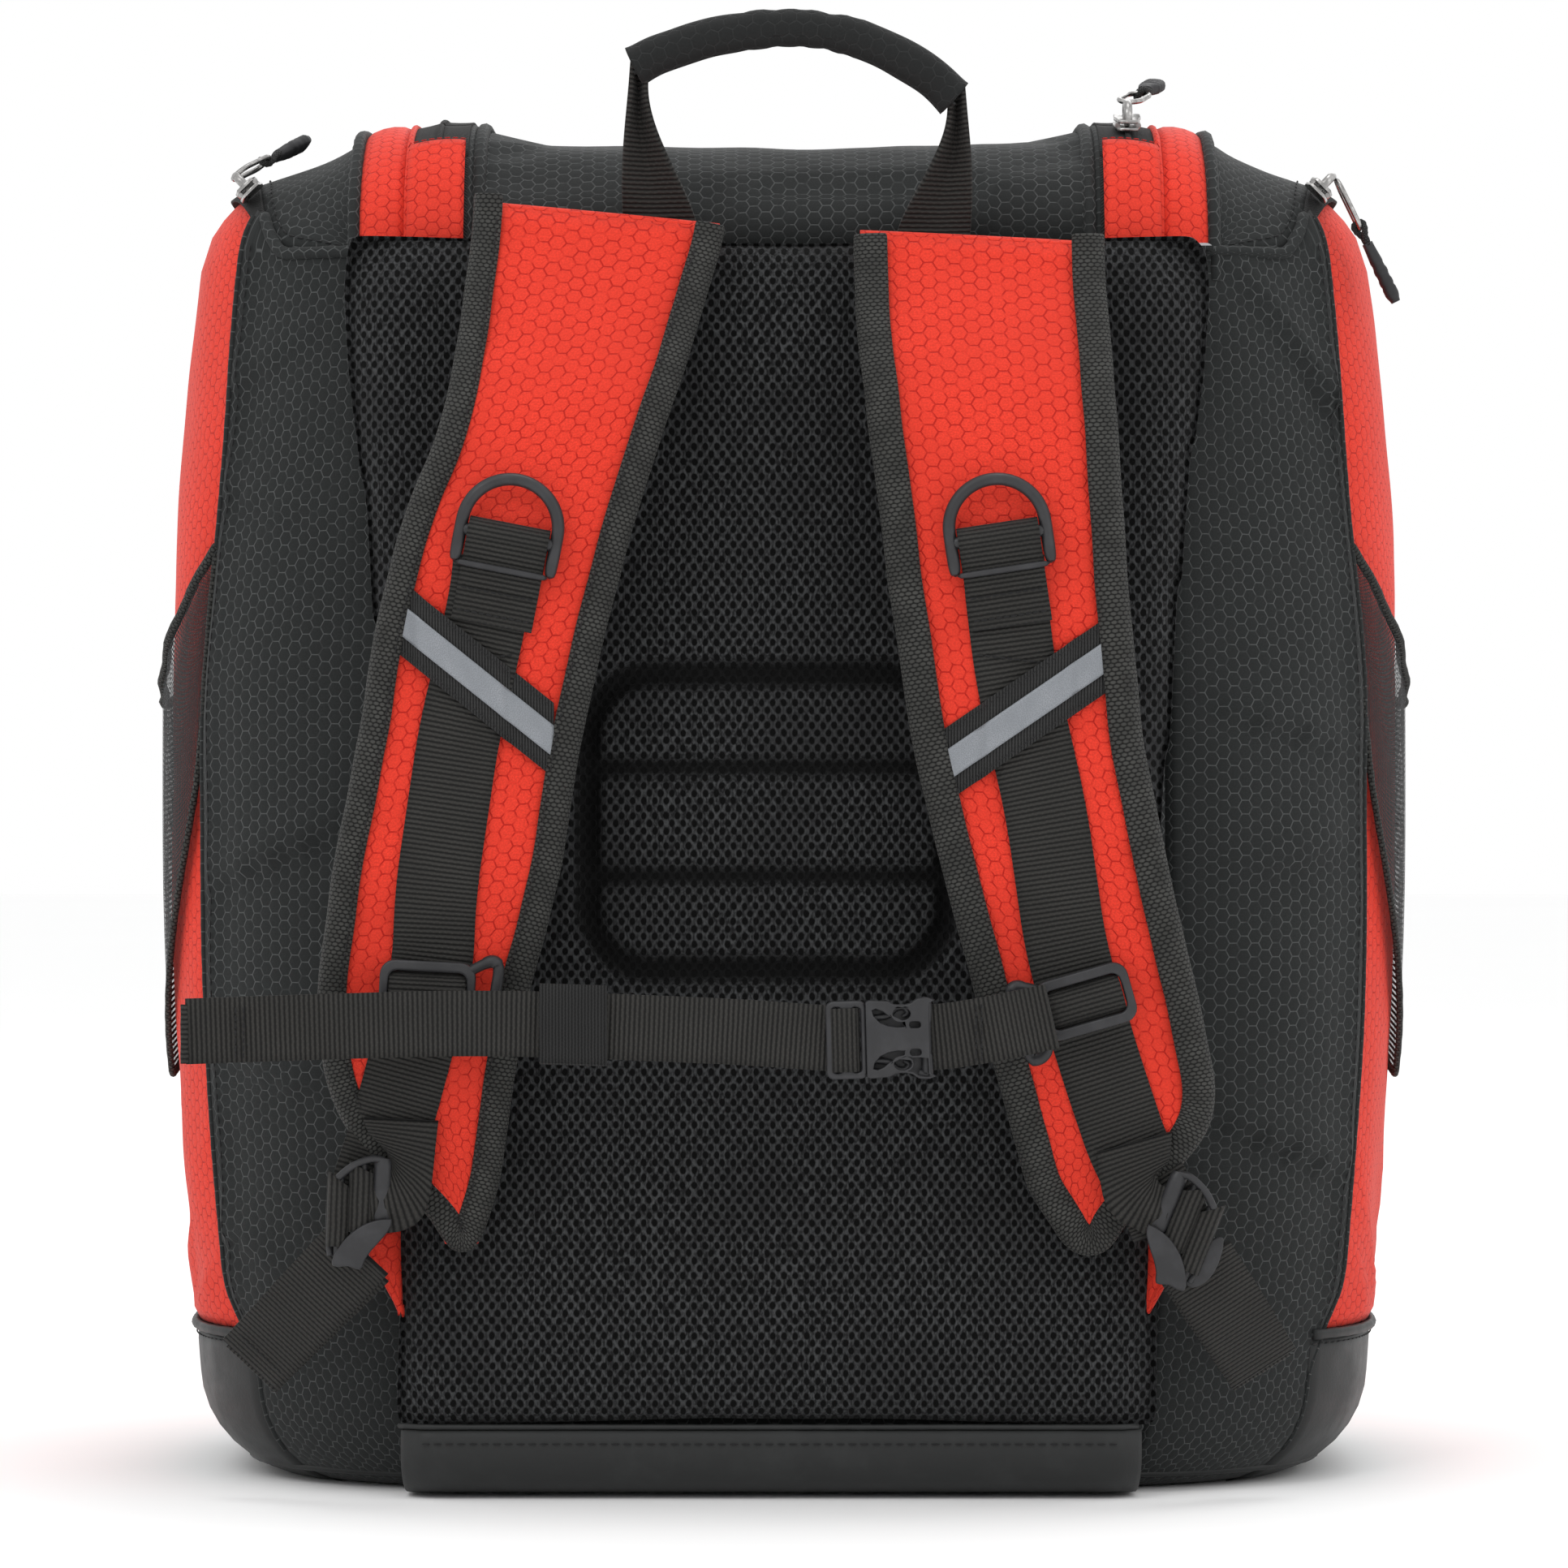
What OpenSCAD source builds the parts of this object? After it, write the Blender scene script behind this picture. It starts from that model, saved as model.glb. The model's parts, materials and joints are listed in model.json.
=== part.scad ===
/* [Bag] */
// Width across the boot doors at the widest height
body_w = 398; // [392:1:404]
// Depth from the body centre line back to the back panel
depth_back = 134; // [130:1:138]
// Depth from the body centre line forward to the front panel
depth_front = 150; // [144:1:156]
// Height of the upright walls, up to the top seam
wall_h = 392; // [388:1:396]
// Rise of the domed top above the top seam
dome_rise = 48; // [44:1:50]
// Thickness of the padded fabric walls
wall_t = 4; // [3:0.5:5]
// Radius of the rounded bottom edge
bottom_r = 30; // [26:1:32]
// Height of the coated base band
base_h = 48; // [44:1:52]

/* [Back and harness] */
// Thickness of the padded back
pad_t = 11; // [9:0.5:12]
// Width of the padded back at the top
pad_w_top = 270; // [262:1:274]
// Width of the padded back at the bottom
pad_w_low = 238; // [232:1:246]
// Thickness of the shoulder straps
strap_t = 9; // [8:0.5:10]
// Width of the shoulder strap webbing
strap_web_w = 25; // [24:0.5:26]
// Width of the sternum webbing
sternum_web_w = 20; // [19:0.5:21]
// Thickness of every webbing
web_t = 1.5; // [1.2:0.1:1.8]

/* [Fit] */
// Gap round the parts that move
gap = 0.5; // [0.3:0.1:0.8]

/* [Hidden] */
$fn = 32;

// colours
black_c = [0.17, 0.18, 0.18];
red_c = [0.86, 0.20, 0.14];
mesh_c = [0.10, 0.10, 0.10];
coated_c = [0.22, 0.22, 0.22];
web_c = [0.19, 0.18, 0.17];
grey_c = [0.50, 0.52, 0.54];
plastic_c = [0.27, 0.27, 0.28];
nickel_c = [0.40, 0.40, 0.42];
lining_c = [0.45, 0.46, 0.47];
board_c = [0.75, 0.75, 0.73];

// plan outline: a superellipse, fuller at the back; angle -90 is the back, 0 the right side
plan_x_power = 3;
plan_back_power = 3.5;
plan_front_power = 3;
dome_power = 5 / 3;
dome_round = 0.625;
back_edge = -62;
door_rear = -24;
door_front = 33;
door_low = base_h + 4;
shoulder_rho = 0.90;

// top panel lines, measured across from the centre
lid_half = 100;
zip_half = 109.6;
zip_w = 9.4;
band_in = zip_half + zip_w + 0.4;
band_w = 16;
gusset_in = band_in + band_w;
lid_hinge_y = -112;
zip_end_y = -84;
zip_front = 12;
divider_low = 80;
divider_lean = 2.3;

function sgn_pow(a, p) = sign(a) * pow(abs(a), p);
function edge_round(z, r) = z >= r ? 0 : r - sqrt(r * r - (r - z) * (r - z));
function side_scale(z) = z < 200
    ? 1 - 0.06 * pow((200 - z) / 200, 2)
    : 1 - 0.035 * pow((z - 200) / 192, 4);
function half_w(z, t) = body_w / 2 * side_scale(z) - edge_round(z, bottom_r) - t;
function back_d(z, t) = depth_back - edge_round(z, bottom_r * 0.7) - t;
function front_d(z, t) = depth_front * side_scale(z) - edge_round(z, bottom_r) - t;

// one point of the walls, inset by t from the outside
function plan_pt(a, z, t) = [
    half_w(z, t) * sgn_pow(cos(a), 2 / plan_x_power),
    sin(a) < 0 ? back_d(z, t) * sgn_pow(sin(a), 2 / plan_back_power)
               : front_d(z, t) * sgn_pow(sin(a), 2 / plan_front_power)
];
function dome_z(x, y, t) = let (
    by = y < 0 ? back_d(wall_h, t) : front_d(wall_h, t),
    q = y < 0 ? plan_back_power : plan_front_power,
    g = min(1, pow(abs(x) / half_w(wall_h, t), plan_x_power) + pow(abs(y) / by, q))
) wall_h + (dome_rise - t) * pow(1 - pow(g, dome_power), dome_round);

// how far the side panels reach over the shoulder of the bag
function ease(v) = let (c = min(1, max(0, v))) c * c * (3 - 2 * c);
function edge_rho(a) = 1 - (1 - shoulder_rho) * ease((abs(plan_pt(a, wall_h, 0)[0]) - 0.4 * body_w) / 35);

// a point of the skin: lv = [height, share of the way over the shoulder]
function skin_pt(a, lv, t) = let (
    p = plan_pt(a, lv[0], t),
    rho = 1 - lv[1] * (1 - edge_rho(a))
) lv[1] == 0 ? [p[0], p[1], lv[0]] : [rho * p[0], rho * p[1], dome_z(rho * p[0], rho * p[1], t)];

// back and front ends of a top strip at distance x from the centre
function strip_back(x, t) =
    -back_d(wall_h, t) * pow(1 - pow(abs(x) / half_w(wall_h, t), plan_x_power), 1 / plan_back_power);
function strip_front(x, t) =
    front_d(wall_h, t) * pow(1 - pow(abs(x) / half_w(wall_h, t), plan_x_power), 1 / plan_front_power);

function steps(a, b, n) = [for (i = [0:n]) a + (b - a) * i / n];
function levels(a, b, n) = [for (z = steps(a, b, n)) [z, 0]];
over_shoulder = [for (w = [0.25, 0.5, 0.75, 1]) [wall_h, w]];
wall_levels = concat(levels(door_low, 112, 2), levels(162, 312, 3), levels(352, wall_h, 2));

// closed slab between two grids of points, outer[row][column] and inner[row][column];
// a wrapped slab is a ring whose last column joins its first
module slab(outer, inner, wrap = false) {
    r = len(outer);
    c = len(outer[0]);
    m = r * c;
    last = wrap ? c - 1 : c - 2;
    id = function(i, j) i * c + j % c;
    face_out = [for (i = [0:r - 2]) for (j = [0:last]) for (k = [0, 1])
        k == 0 ? [id(i, j), id(i + 1, j), id(i + 1, j + 1)] : [id(i, j), id(i + 1, j + 1), id(i, j + 1)]];
    face_in = [for (f = face_out) [f[2] + m, f[1] + m, f[0] + m]];
    rim = concat(
        [for (j = [0:last]) [id(0, j), id(0, j + 1)]],
        [for (j = [last:-1:0]) [id(r - 1, j + 1), id(r - 1, j)]],
        wrap ? [] : [for (i = [0:r - 2]) [id(i, c - 1), id(i + 1, c - 1)]],
        wrap ? [] : [for (i = [r - 1:-1:1]) [id(i, 0), id(i - 1, 0)]]);
    face_rim = [for (e = rim) for (k = [0, 1])
        k == 0 ? [e[0], e[1], e[1] + m] : [e[0], e[1] + m, e[0] + m]];
    polyhedron(
        points = [for (grid = [outer, inner]) for (row = grid) for (p = row) p],
        faces = concat(face_out, face_in, face_rim), convexity = 8);
}

// a panel of the skin between two plan angles
module panel(a0, a1, n, lvs, t_out = 0, t_in = wall_t) {
    grid = function(t) [for (lv = lvs) [for (a = steps(a0, a1, n)) skin_pt(a, lv, t)]];
    slab(grid(t_out), grid(t_in));
}

// a strip of the domed top from the back seam to the front seam,
// or between the lines y_from and y_to when they are given
module top_strip(x0, x1, nx, ny, t_out = 0, t_in = wall_t, y_from = undef, y_to = undef, front_gap = 0) {
    grid = function(t) [for (v = steps(0, 1, ny)) [for (x = steps(x0, x1, nx)) let (
        s = (1 - cos(180 * v)) / 2,
        y0 = is_undef(y_from) ? strip_back(x, t) : y_from,
        y1 = is_undef(y_to) ? strip_front(x, t) - front_gap : y_to,
        y = y0 + (y1 - y0) * s
    ) [x, y, dome_z(x, y, t)]]];
    slab(grid(t_out), grid(t_in));
}

// the right-hand piece as drawn, or its mirror image on the left
module on_side(side) {
    if (side > 0) children();
    else mirror([1, 0, 0]) children();
}

// ---- shell ----
module back_panel() {
    color(lining_c)
        panel(-180 - back_edge, back_edge, 14, concat([[base_h, 0]], wall_levels));
}
module rear_panel(side) {
    color(black_c) on_side(side)
        panel(back_edge, door_rear, 8, concat([[base_h, 0]], wall_levels, over_shoulder));
}
module front_panel() {
    color(red_c)
        panel(door_front, 180 - door_front, 20, concat([[base_h, 0]], wall_levels, over_shoulder));
}
module base_tray() {
    low = concat(levels(wall_t, 24, 4), levels(36, base_h, 1));
    ring = function(t) [for (lv = low) [for (a = steps(-90, 265, 71)) skin_pt(a, lv, t)]];
    color(coated_c) {
        slab(ring(0), ring(wall_t), wrap = true);
        linear_extrude(wall_t) polygon([for (a = steps(-90, 265, 71)) plan_pt(a, wall_t, 0)]);
    }
}
board_t = 2;
module base_board() {
    color(board_c) translate([0, 0, wall_t]) linear_extrude(board_t)
        offset(r = 12) square([2 * lid_half - 40, depth_back + depth_front - 84], center = true);
}
module divider(side) {
    foot = wall_t + board_t + 0.6;
    color(lining_c) on_side(side) translate([divider_low, 0, 0]) rotate([0, divider_lean, 0])
        rotate([90, 0, 90]) linear_extrude(3) polygon(concat(
            [[-95, foot], [105, foot], [126, 60]],
            [for (y = steps(132, -122, 14)) [y, dome_z(lid_half, y, wall_t) - 3]],
            [[-122, 48]]));
}

// ---- domed top ----
module top_band(side) {
    color(red_c) on_side(side) top_strip(band_in, gusset_in, 2, 16);
}
// the body side of the zip, with the joined end of both tapes beside the lid hinge
module body_zip_tape() {
    color(black_c) for (side = [-1, 1]) on_side(side) {
        top_strip(zip_half + gap, band_in, 1, 16, 0.8, 2.4);
        top_strip(lid_half + gap, zip_half + gap, 1, 3, 0.8, 2.4,
            y_from = lid_hinge_y + gap, y_to = zip_end_y);
    }
}
module lid_back() {
    color(black_c)
        top_strip(-zip_half, zip_half, 12, 4, y_to = lid_hinge_y);
}
module lid() {
    color(black_c)
        top_strip(-lid_half, lid_half, 12, 16, y_from = lid_hinge_y + gap, front_gap = zip_front);
}
module lid_zip_tape() {
    grid = function(t) [for (v = [1, 0]) [for (x = steps(-lid_half + 4, lid_half - 4, 10)) let (
        y = strip_front(x, t) - 2 - (zip_front - 2.4) * v
    ) [x, y, dome_z(x, y, t)]]];
    color(black_c) {
        for (side = [-1, 1]) on_side(side)
            top_strip(lid_half, zip_half, 1, 16, 0.8, 2.4, y_from = zip_end_y + gap, front_gap = zip_front);
        slab(grid(0.8), grid(2.4));
    }
}
module top_gusset(side) {
    a0 = -54;
    a1 = 51;
    grid = function(t) [for (f = steps(0, 1, 4)) [for (a = steps(a0, a1, 14)) let (
        e = skin_pt(a, [wall_h, 1.05], t),
        x = e[0] + (gusset_in - e[0]) * f
    ) [x, e[1], f == 0 ? e[2] : dome_z(x, e[1], t)]]];
    color(black_c) on_side(side) slab(grid(0), grid(wall_t));
}
module zip_garage(side) {
    grid = function(t) [for (v = steps(0, 1, 3)) [for (x = steps(lid_half + 2, band_in + 2, 3)) let (
        y = strip_back(x, 0) + 1 + 15 * v
    ) [x, y, dome_z(x, y, 0) + t]]];
    color(red_c) on_side(side) slab(grid(2.8), grid(1.5));
}

// ---- boot compartment doors ----
module boot_door(side) {
    shift = 0.25;
    color(red_c) on_side(side)
        panel(door_rear + shift, door_front - shift, 12, concat(wall_levels,
            [for (lv = over_shoulder) [lv[0], lv[1] * 0.96]]));
}
pocket_z0 = 128;
pocket_z1 = 300;
module mesh_pocket(side) {
    a0 = door_rear + 2;
    a1 = door_front - 3;
    grid = function(t) [for (v = steps(0, 1, 6)) [for (u = steps(0, 1, 10)) let (
        top = pocket_z1 - 62 * (1 - u),
        z = pocket_z0 + (top - pocket_z0) * v,
        bulge = 8 * pow(sin(180 * (0.04 + 0.92 * u)), 0.5) * pow(sin(90 * (0.12 + 0.88 * v)), 0.5)
    ) skin_pt(a0 + (a1 - a0) * u, [z, 0], t - bulge)]];
    color(mesh_c) on_side(side) slab(grid(-0.4), grid(0.4));
}
module front_pocket() {
    pz0 = 62;
    pz1 = 250;
    grid = function(t) [for (v = steps(0, 1, 8)) [for (u = steps(0, 1, 12)) let (
        rise = 12 * pow(sin(180 * (0.03 + 0.94 * u)), 0.4) * pow(sin(180 * (0.03 + 0.94 * v)), 0.4)
    ) skin_pt(60 + 60 * u, [pz0 + (pz1 - pz0) * v, 0], t - rise)]];
    color(red_c) slab(grid(-2.4), grid(0));
}
module front_pocket_zip() {
    color(black_c) panel(66, 114, 10, levels(252, 262, 1), -2.2, -0.4);
}

// ---- padded back ----
pad_back_y = -depth_back - 4.5;
pad_bottom = 22;
pad_top = wall_h + 3;
module back_pad() {
    half = [pad_w_low / 2, pad_w_low / 2, pad_w_top / 2 - 4, pad_w_top / 2, pad_w_top / 2 - 3];
    z = [pad_bottom, 180, 300, 370, pad_top];
    crown = 3;
    side = function(k) [for (i = [0:len(z) - 1]) [k * half[i], z[i]]];
    color(mesh_c) {
        translate([0, pad_back_y, 0]) rotate([90, 0, 0]) linear_extrude(pad_t - crown)
            polygon(concat(side(1), [for (i = [len(z) - 1:-1:0]) side(-1)[i]]));
        hull() for (y = [pad_t - crown, pad_t]) let (s = y == pad_t ? 8 : 0)
            translate([0, pad_back_y - y + 0.05, 0]) rotate([90, 0, 0]) linear_extrude(0.05)
                polygon([[-pad_w_low / 2 + s, pad_bottom + s], [pad_w_low / 2 - s, pad_bottom + s],
                    [pad_w_top / 2 - 3 - s, pad_top - s], [-pad_w_top / 2 + 3 + s, pad_top - s]]);
    }
}
module frame_sheet() {
    color(board_c) translate([0, pad_back_y, 0]) rotate([-90, 0, 0])
        translate([0, -(pad_top + pad_bottom) / 2, 0]) linear_extrude(2)
            offset(r = 18) square([pad_w_low - 44, pad_top - pad_bottom - 50], center = true);
}
module back_base_strip() {
    grid = function(t) [for (z = [6, 14, 21]) [for (x = steps(-pad_w_low / 2, pad_w_low / 2, 10))
        [x, -back_d(z, 0) + 4 - t, z]]];
    color(coated_c) slab(grid(6.5), grid(4.4));
}

// ---- harness: distances down and across the two shoulder straps ----
// front face of the straps by height
strap_front = [[78, -160.5], [95, -164], [130, -175], [200, -187], [300, -189],
    [345, -182], [375, -168], [392, -161], [403, -160.5]];
// [height, inner edge, outer edge]
strap_left = [[79, -97, -103], [92, -90, -111], [110, -87, -130], [124, -85, -140], [155, -80, -144.5],
    [200, -68, -138], [235, -63.5, -131], [275, -54, -124.5], [305, -46.3, -117], [335, -36.4, -105],
    [366, -26.6, -99.5], [394, -18, -95.5]];
strap_right = [[79, 92, 99], [92, 78, 108], [110, 73.5, 127.5], [124, 69.5, 134], [155, 61, 127.5],
    [200, 49, 116.5], [235, 40.5, 109.5], [275, 34.5, 105.5], [305, 30.5, 103.2], [335, 27, 101.5],
    [366, 23.2, 99.7], [394, 22.5, 98.4]];
function strap_y(z) = lookup(z, strap_front);
function column(rows, k) = [for (q = rows) [q[0], q[k]]];
function row_at(rows, z) = [z, lookup(z, column(rows, 1)), lookup(z, column(rows, 2))];
// the rows, with one more at each break of the strap's front face
function with_breaks(rows) = concat(
    [for (k = [0:len(rows) - 2]) each concat([rows[k]],
        [for (f = strap_front) if (f[0] > rows[k][0] && f[0] < rows[k + 1][0]) row_at(rows, f[0])])],
    [rows[len(rows) - 1]]);

// a flat band that follows the front of the straps: rows of [height, x0, x1], raised by t
module strap_band(rows, t0, t1, n = 2) {
    grid = function(t) [for (q = with_breaks(rows)) [for (x = steps(min(q[1], q[2]), max(q[1], q[2]), n))
        [x, strap_y(q[0]) + t, q[0]]]];
    slab(grid(-t0), grid(-t1));
}
module shoulder_strap(rows) {
    color(red_c) strap_band(rows, 0, -strap_t, 4);
}
web_left = [[92, -130], [121, -120.3], [138, -115.6], [166, -108], [190, -106.9], [240, -99.5],
    [265, -93.3], [290, -88.5]];
web_right = [[86, 122], [106, 108.2], [136, 97.8], [173, 86.6], [215, 80.4], [257, 71], [290, 67]];
module strap_webbing(line, drop = 0) {
    rows = [for (q = line) if (q[0] > drop) [q[0], q[1] - strap_web_w / 2, q[1] + strap_web_w / 2]];
    color(web_c) strap_band(rows, 0.3 + web_t, 0.3);
}
strip_h = 23;
// reflective strip: a band that slopes across the strap
module reflective_strip(p, q) {
    grid = function(t) [for (v = [0, strip_h]) [for (s = steps(0, 1, 6)) let (
        x = p[0] + (q[0] - p[0]) * s,
        z = p[1] + (q[1] - p[1]) * s + v
    ) [x, strap_y(z) - t, z]]];
    color(grey_c) slab(grid(2.9), grid(2.1));
}

// ---- hardware: every fitting is drawn flat, its front towards +Z, then stood up facing the wearer ----
module facing(x, y, z, turn = 0) {
    translate([x, y, z]) rotate([0, -turn, 0]) rotate([90, 0, 0]) children();
}
module rrect(w, h, r) {
    square([w - 2 * r, h], center = true);
    square([w, h - 2 * r], center = true);
    for (sx = [-1, 1], sy = [-1, 1]) translate([sx * (w / 2 - r), sy * (h / 2 - r)]) circle(r);
}
module frame_plate(w, h, r, rim, t) {
    linear_extrude(t) difference() {
        rrect(w, h, r);
        rrect(w - 2 * rim, h - 2 * rim, max(0.6, r - rim));
    }
}
module bar(len, r) {
    translate([-len / 2, 0, 0]) rotate([0, 90, 0]) cylinder(r = r, h = len);
}

// D-ring threaded on the strap webbing: an arc, two legs, a lower bar and a cross bar
ring_r = 14.8;
ring_bar_r = 2;
ring_leg = 14;
ring_cross = 11;
d_ring_at = [[-86.5, 288.5, -11], [67.3, 288.5, 8.5]];
d_ring_lift = 4.6;
module d_ring(i) {
    p = d_ring_at[i];
    color(plastic_c) facing(p[0], strap_y(p[1]) - d_ring_lift, p[1], p[2]) {
        translate([0, ring_leg, 0]) rotate_extrude(angle = 180) translate([ring_r, 0]) circle(ring_bar_r);
        for (sx = [-1, 1]) translate([sx * ring_r, 0, 0]) {
            sphere(ring_bar_r);
            rotate([-90, 0, 0]) cylinder(r = ring_bar_r, h = ring_leg);
        }
        bar(2 * ring_r, 1.5);
        translate([0, ring_cross, 0]) bar(2 * ring_r, ring_bar_r);
    }
}

// sternum strap: its height on the harness, and where its fittings sit across the chest
sternum_z = 147.5;
sternum_y = -201;
sternum_tail_x = -182;
socket_x = [26, 45.5];
plug_x = [13.4, 26];
hook_x = 79;
ring_lift = 5;
sternum_ring_at = [[-108, 163, 0], [94, 156, 13]];
module sternum_ring(i) {
    p = sternum_ring_at[i];
    color(plastic_c) facing(p[0], strap_y(p[1]) - ring_lift, p[1], p[2])
        frame_plate(strap_web_w + 6, 26, 5, 3, 3);
}
module sternum_webbing(x0, x1) {
    color(web_c) translate([x0, sternum_y - web_t / 2, sternum_z - sternum_web_w / 2])
        cube([x1 - x0, web_t, sternum_web_w]);
}
module elastic_keeper() {
    color(black_c) facing(-64, sternum_y + 2.4, sternum_z)
        difference() {
            translate([-10, -sternum_web_w / 2 - 1.4, 0]) cube([20, sternum_web_w + 2.8, 4.8]);
            translate([-11, -sternum_web_w / 2 - 0.3, 1.3]) cube([22, sternum_web_w + 0.6, 2.2]);
        }
}
buckle_h = 25;
buckle_t = 6;
module buckle_socket() {
    w = socket_x[1] - socket_x[0];
    color(plastic_c) facing((socket_x[0] + socket_x[1]) / 2, sternum_y + buckle_t / 2, sternum_z)
        difference() {
            linear_extrude(buckle_t) rrect(w, buckle_h, 2.5);
            translate([-w / 2 - 1, -8.4, 1.2]) cube([w - 1.2, 16.8, buckle_t - 2.4]);
            for (sy = [-1, 1]) translate([1, sy * 8.6, -1]) cylinder(d = 5.6, h = buckle_t + 2);
        }
}
module buckle_plug() {
    w = plug_x[1] - plug_x[0] - gap;
    color(plastic_c) facing((plug_x[0] + plug_x[1] - gap) / 2, sternum_y + buckle_t / 2, sternum_z) {
        difference() {
            linear_extrude(buckle_t) rrect(w, buckle_h, 2);
            translate([-w / 2 + 2.2, -sternum_web_w / 2 - 0.5, -1])
                cube([w - 4.8, sternum_web_w + 1, buckle_t + 2]);
            translate([-w / 2 - 1, -sternum_web_w / 2 - 0.5, buckle_t / 2 - 1.2])
                cube([w, sternum_web_w + 1, 2.4]);
        }
        for (sy = [-1, 0, 1])
            translate([w / 2 - 0.6, sy * 5.6 - 1.3, 1.8]) cube([15.2, 2.6, buckle_t - 3.6]);
    }
}

// ladder locks at the strap ends, with the free webbing tails
lock_at = [[-130.5, 91.5, -4], [125.5, 86.5, -22]];
lock_w = 20;
lock_h = 33;
lock_t = 3.5;
lock_lift = 8;
module ladder_lock(i) {
    p = lock_at[i];
    color(plastic_c) facing(p[0], strap_y(p[1]) - lock_lift, p[1], p[2]) {
        frame_plate(lock_w, lock_h, 3, 3, lock_t);
        translate([-1.6, -lock_h / 2 + 1, 0]) cube([3.2, lock_h - 2, lock_t]);
    }
}
// free tail: from the lock down over the rear side panel
tail_from = [[-137, 84], [133, 77]];
tail_to = [[-170, 43], [152, 38]];
module lower_webbing(i) {
    a = tail_from[i];
    b = tail_to[i];
    d = [b[0] - a[0], b[1] - a[1]] / norm([b[0] - a[0], b[1] - a[1]]);
    n = [-d[1], d[0]] * strap_web_w / 2;
    y0 = strap_y(a[1]) - 1.5;
    y1 = -140;
    grid = function(t) [for (k = [-1, 1]) [for (s = steps(0, 1, 4)) let (
        x = a[0] + (b[0] - a[0]) * s + k * n[0],
        z = a[1] + (b[1] - a[1]) * s + k * n[1]
    ) [x, y0 + (y1 - y0) * s + t, z]]];
    color(web_c) slab(grid(web_t / 2), grid(-web_t / 2));
}
module anchor_tab(side) {
    color(red_c) on_side(side) translate([pad_w_low / 2 + 0.6, pad_back_y - 1, 0]) rotate([90, 0, 0])
        linear_extrude(4) polygon([[0, 54], [2, 86], [12, 80]]);
}

// ---- haul handle ----
haul_y = -144;
haul_z = 399;
haul_lean = 8;
haul_x = 4;
grip_arc_r = 82;
grip_arc = 38;
grip_r = 4.6;
haul_top = 62;
module haul_frame() {
    translate([haul_x, haul_y, haul_z]) rotate([haul_lean, 0, 0]) children();
}
module haul_grip() {
    color(black_c) haul_frame() translate([0, 0, haul_top - grip_arc_r]) rotate([90, 0, 0])
        rotate([0, 0, 90 - grip_arc]) rotate_extrude(angle = 2 * grip_arc) translate([grip_arc_r, 0])
            circle(grip_r);
}
module haul_webbing() {
    top_x = grip_arc_r * sin(grip_arc) + 0.6;
    top_z = haul_top - grip_arc_r * (1 - cos(grip_arc)) - 2;
    color(web_c) haul_frame() for (sx = [-1, 1]) hull() {
        translate([sx * 42 - strap_web_w / 2, -web_t / 2, 0]) cube([strap_web_w, web_t, 0.5]);
        translate([sx * (top_x + 1.4) - 1.2, -4, top_z - 3]) cube([2.4, 8, 3]);
    }
}

// ---- zip sliders and pulls ----
slider_w = 9;
slider_l = 12;
slider_t = 4;
main_slider_y = -92;
side_slider_a = -29;
function main_slider_at() = [zip_half + gap / 2, main_slider_y,
    dome_z(zip_half, main_slider_y, 0)];
function side_slider_at() = let (e = skin_pt(side_slider_a, [wall_h, 1], 0)) [e[0], e[1], e[2]];
main_slope = 16;
side_slope = 44;
module slider_body() {
    linear_extrude(slider_t / 2) rrect(slider_w, slider_l, 2);
    translate([-1.2, -slider_l / 2 + 2, 0]) difference() {
        cube([2.4, slider_l - 4, slider_t + 2]);
        translate([-1, 2, slider_t / 2 + 0.6]) cube([5, slider_l - 8, 2]);
    }
}
// a pull: metal loop, cord and moulded tip, along +Y from its hinge at the origin
pull_gap = 1.2;
module pull_body(tip_len) {
    translate([0, 8, 0]) linear_extrude(1.6, center = true) difference() {
        rrect(8, 17, 3);
        rrect(5, 14, 2);
    }
    translate([0, 15, 0]) rotate([-90, 0, 0]) cylinder(r = 1.2, h = 8);
    translate([0, 22 + tip_len / 2, 0]) linear_extrude(4.4, center = true) rrect(7, tip_len, 2.4);
}
main_lift = 2.4;
side_lift = 4.4;
module main_slider_frame() {
    p = main_slider_at();
    translate(p) rotate([main_slope, 0, 0]) translate([0, 0, main_lift]) children();
}
module side_slider_frame() {
    p = side_slider_at();
    translate(p) rotate([0, side_slope, 0]) translate([0, 0, side_lift]) children();
}
module main_slider() {
    color(nickel_c) main_slider_frame() slider_body();
}
module main_pull() {
    color(nickel_c) main_slider_frame() translate([0, 3, slider_t + 4])
        rotate([0, 0, -18]) rotate([-1, 0, 0]) pull_body(14);
}
module side_slider(side) {
    color(nickel_c) on_side(side) side_slider_frame() slider_body();
}
module side_pull_left() {
    color(nickel_c) on_side(-1) side_slider_frame() translate([0, 1, slider_t + 4])
        rotate([0, 0, 40]) rotate([-7, 0, 0]) pull_body(16);
}
module side_pull_right() {
    color(nickel_c) side_slider_frame() translate([2.4, 0, slider_t + 3.6])
        rotate([0, 20, 0]) rotate([0, 0, -90]) pull_body(21);
}

back_panel();
back_pad();
frame_sheet();
back_base_strip();
base_tray();
base_board();
rear_panel(-1);  // rear_panel_left
rear_panel(1);  // rear_panel_right
front_panel();
front_pocket();
front_pocket_zip();
top_gusset(-1);  // top_gusset_left
top_gusset(1);  // top_gusset_right
top_band(-1);  // top_band_left
top_band(1);  // top_band_right
body_zip_tape();
zip_garage(-1);  // zip_garage_left
zip_garage(1);  // zip_garage_right
divider(-1);  // divider_left
divider(1);  // divider_right
lid_back();
lid();
lid_zip_tape();
boot_door(-1);  // boot_door_left
boot_door(1);  // boot_door_right
mesh_pocket(-1);  // mesh_pocket_left
mesh_pocket(1);  // mesh_pocket_right
main_slider();
main_pull();
side_slider(-1);  // side_slider_left
side_slider(1);  // side_slider_right
side_pull_left();
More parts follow.
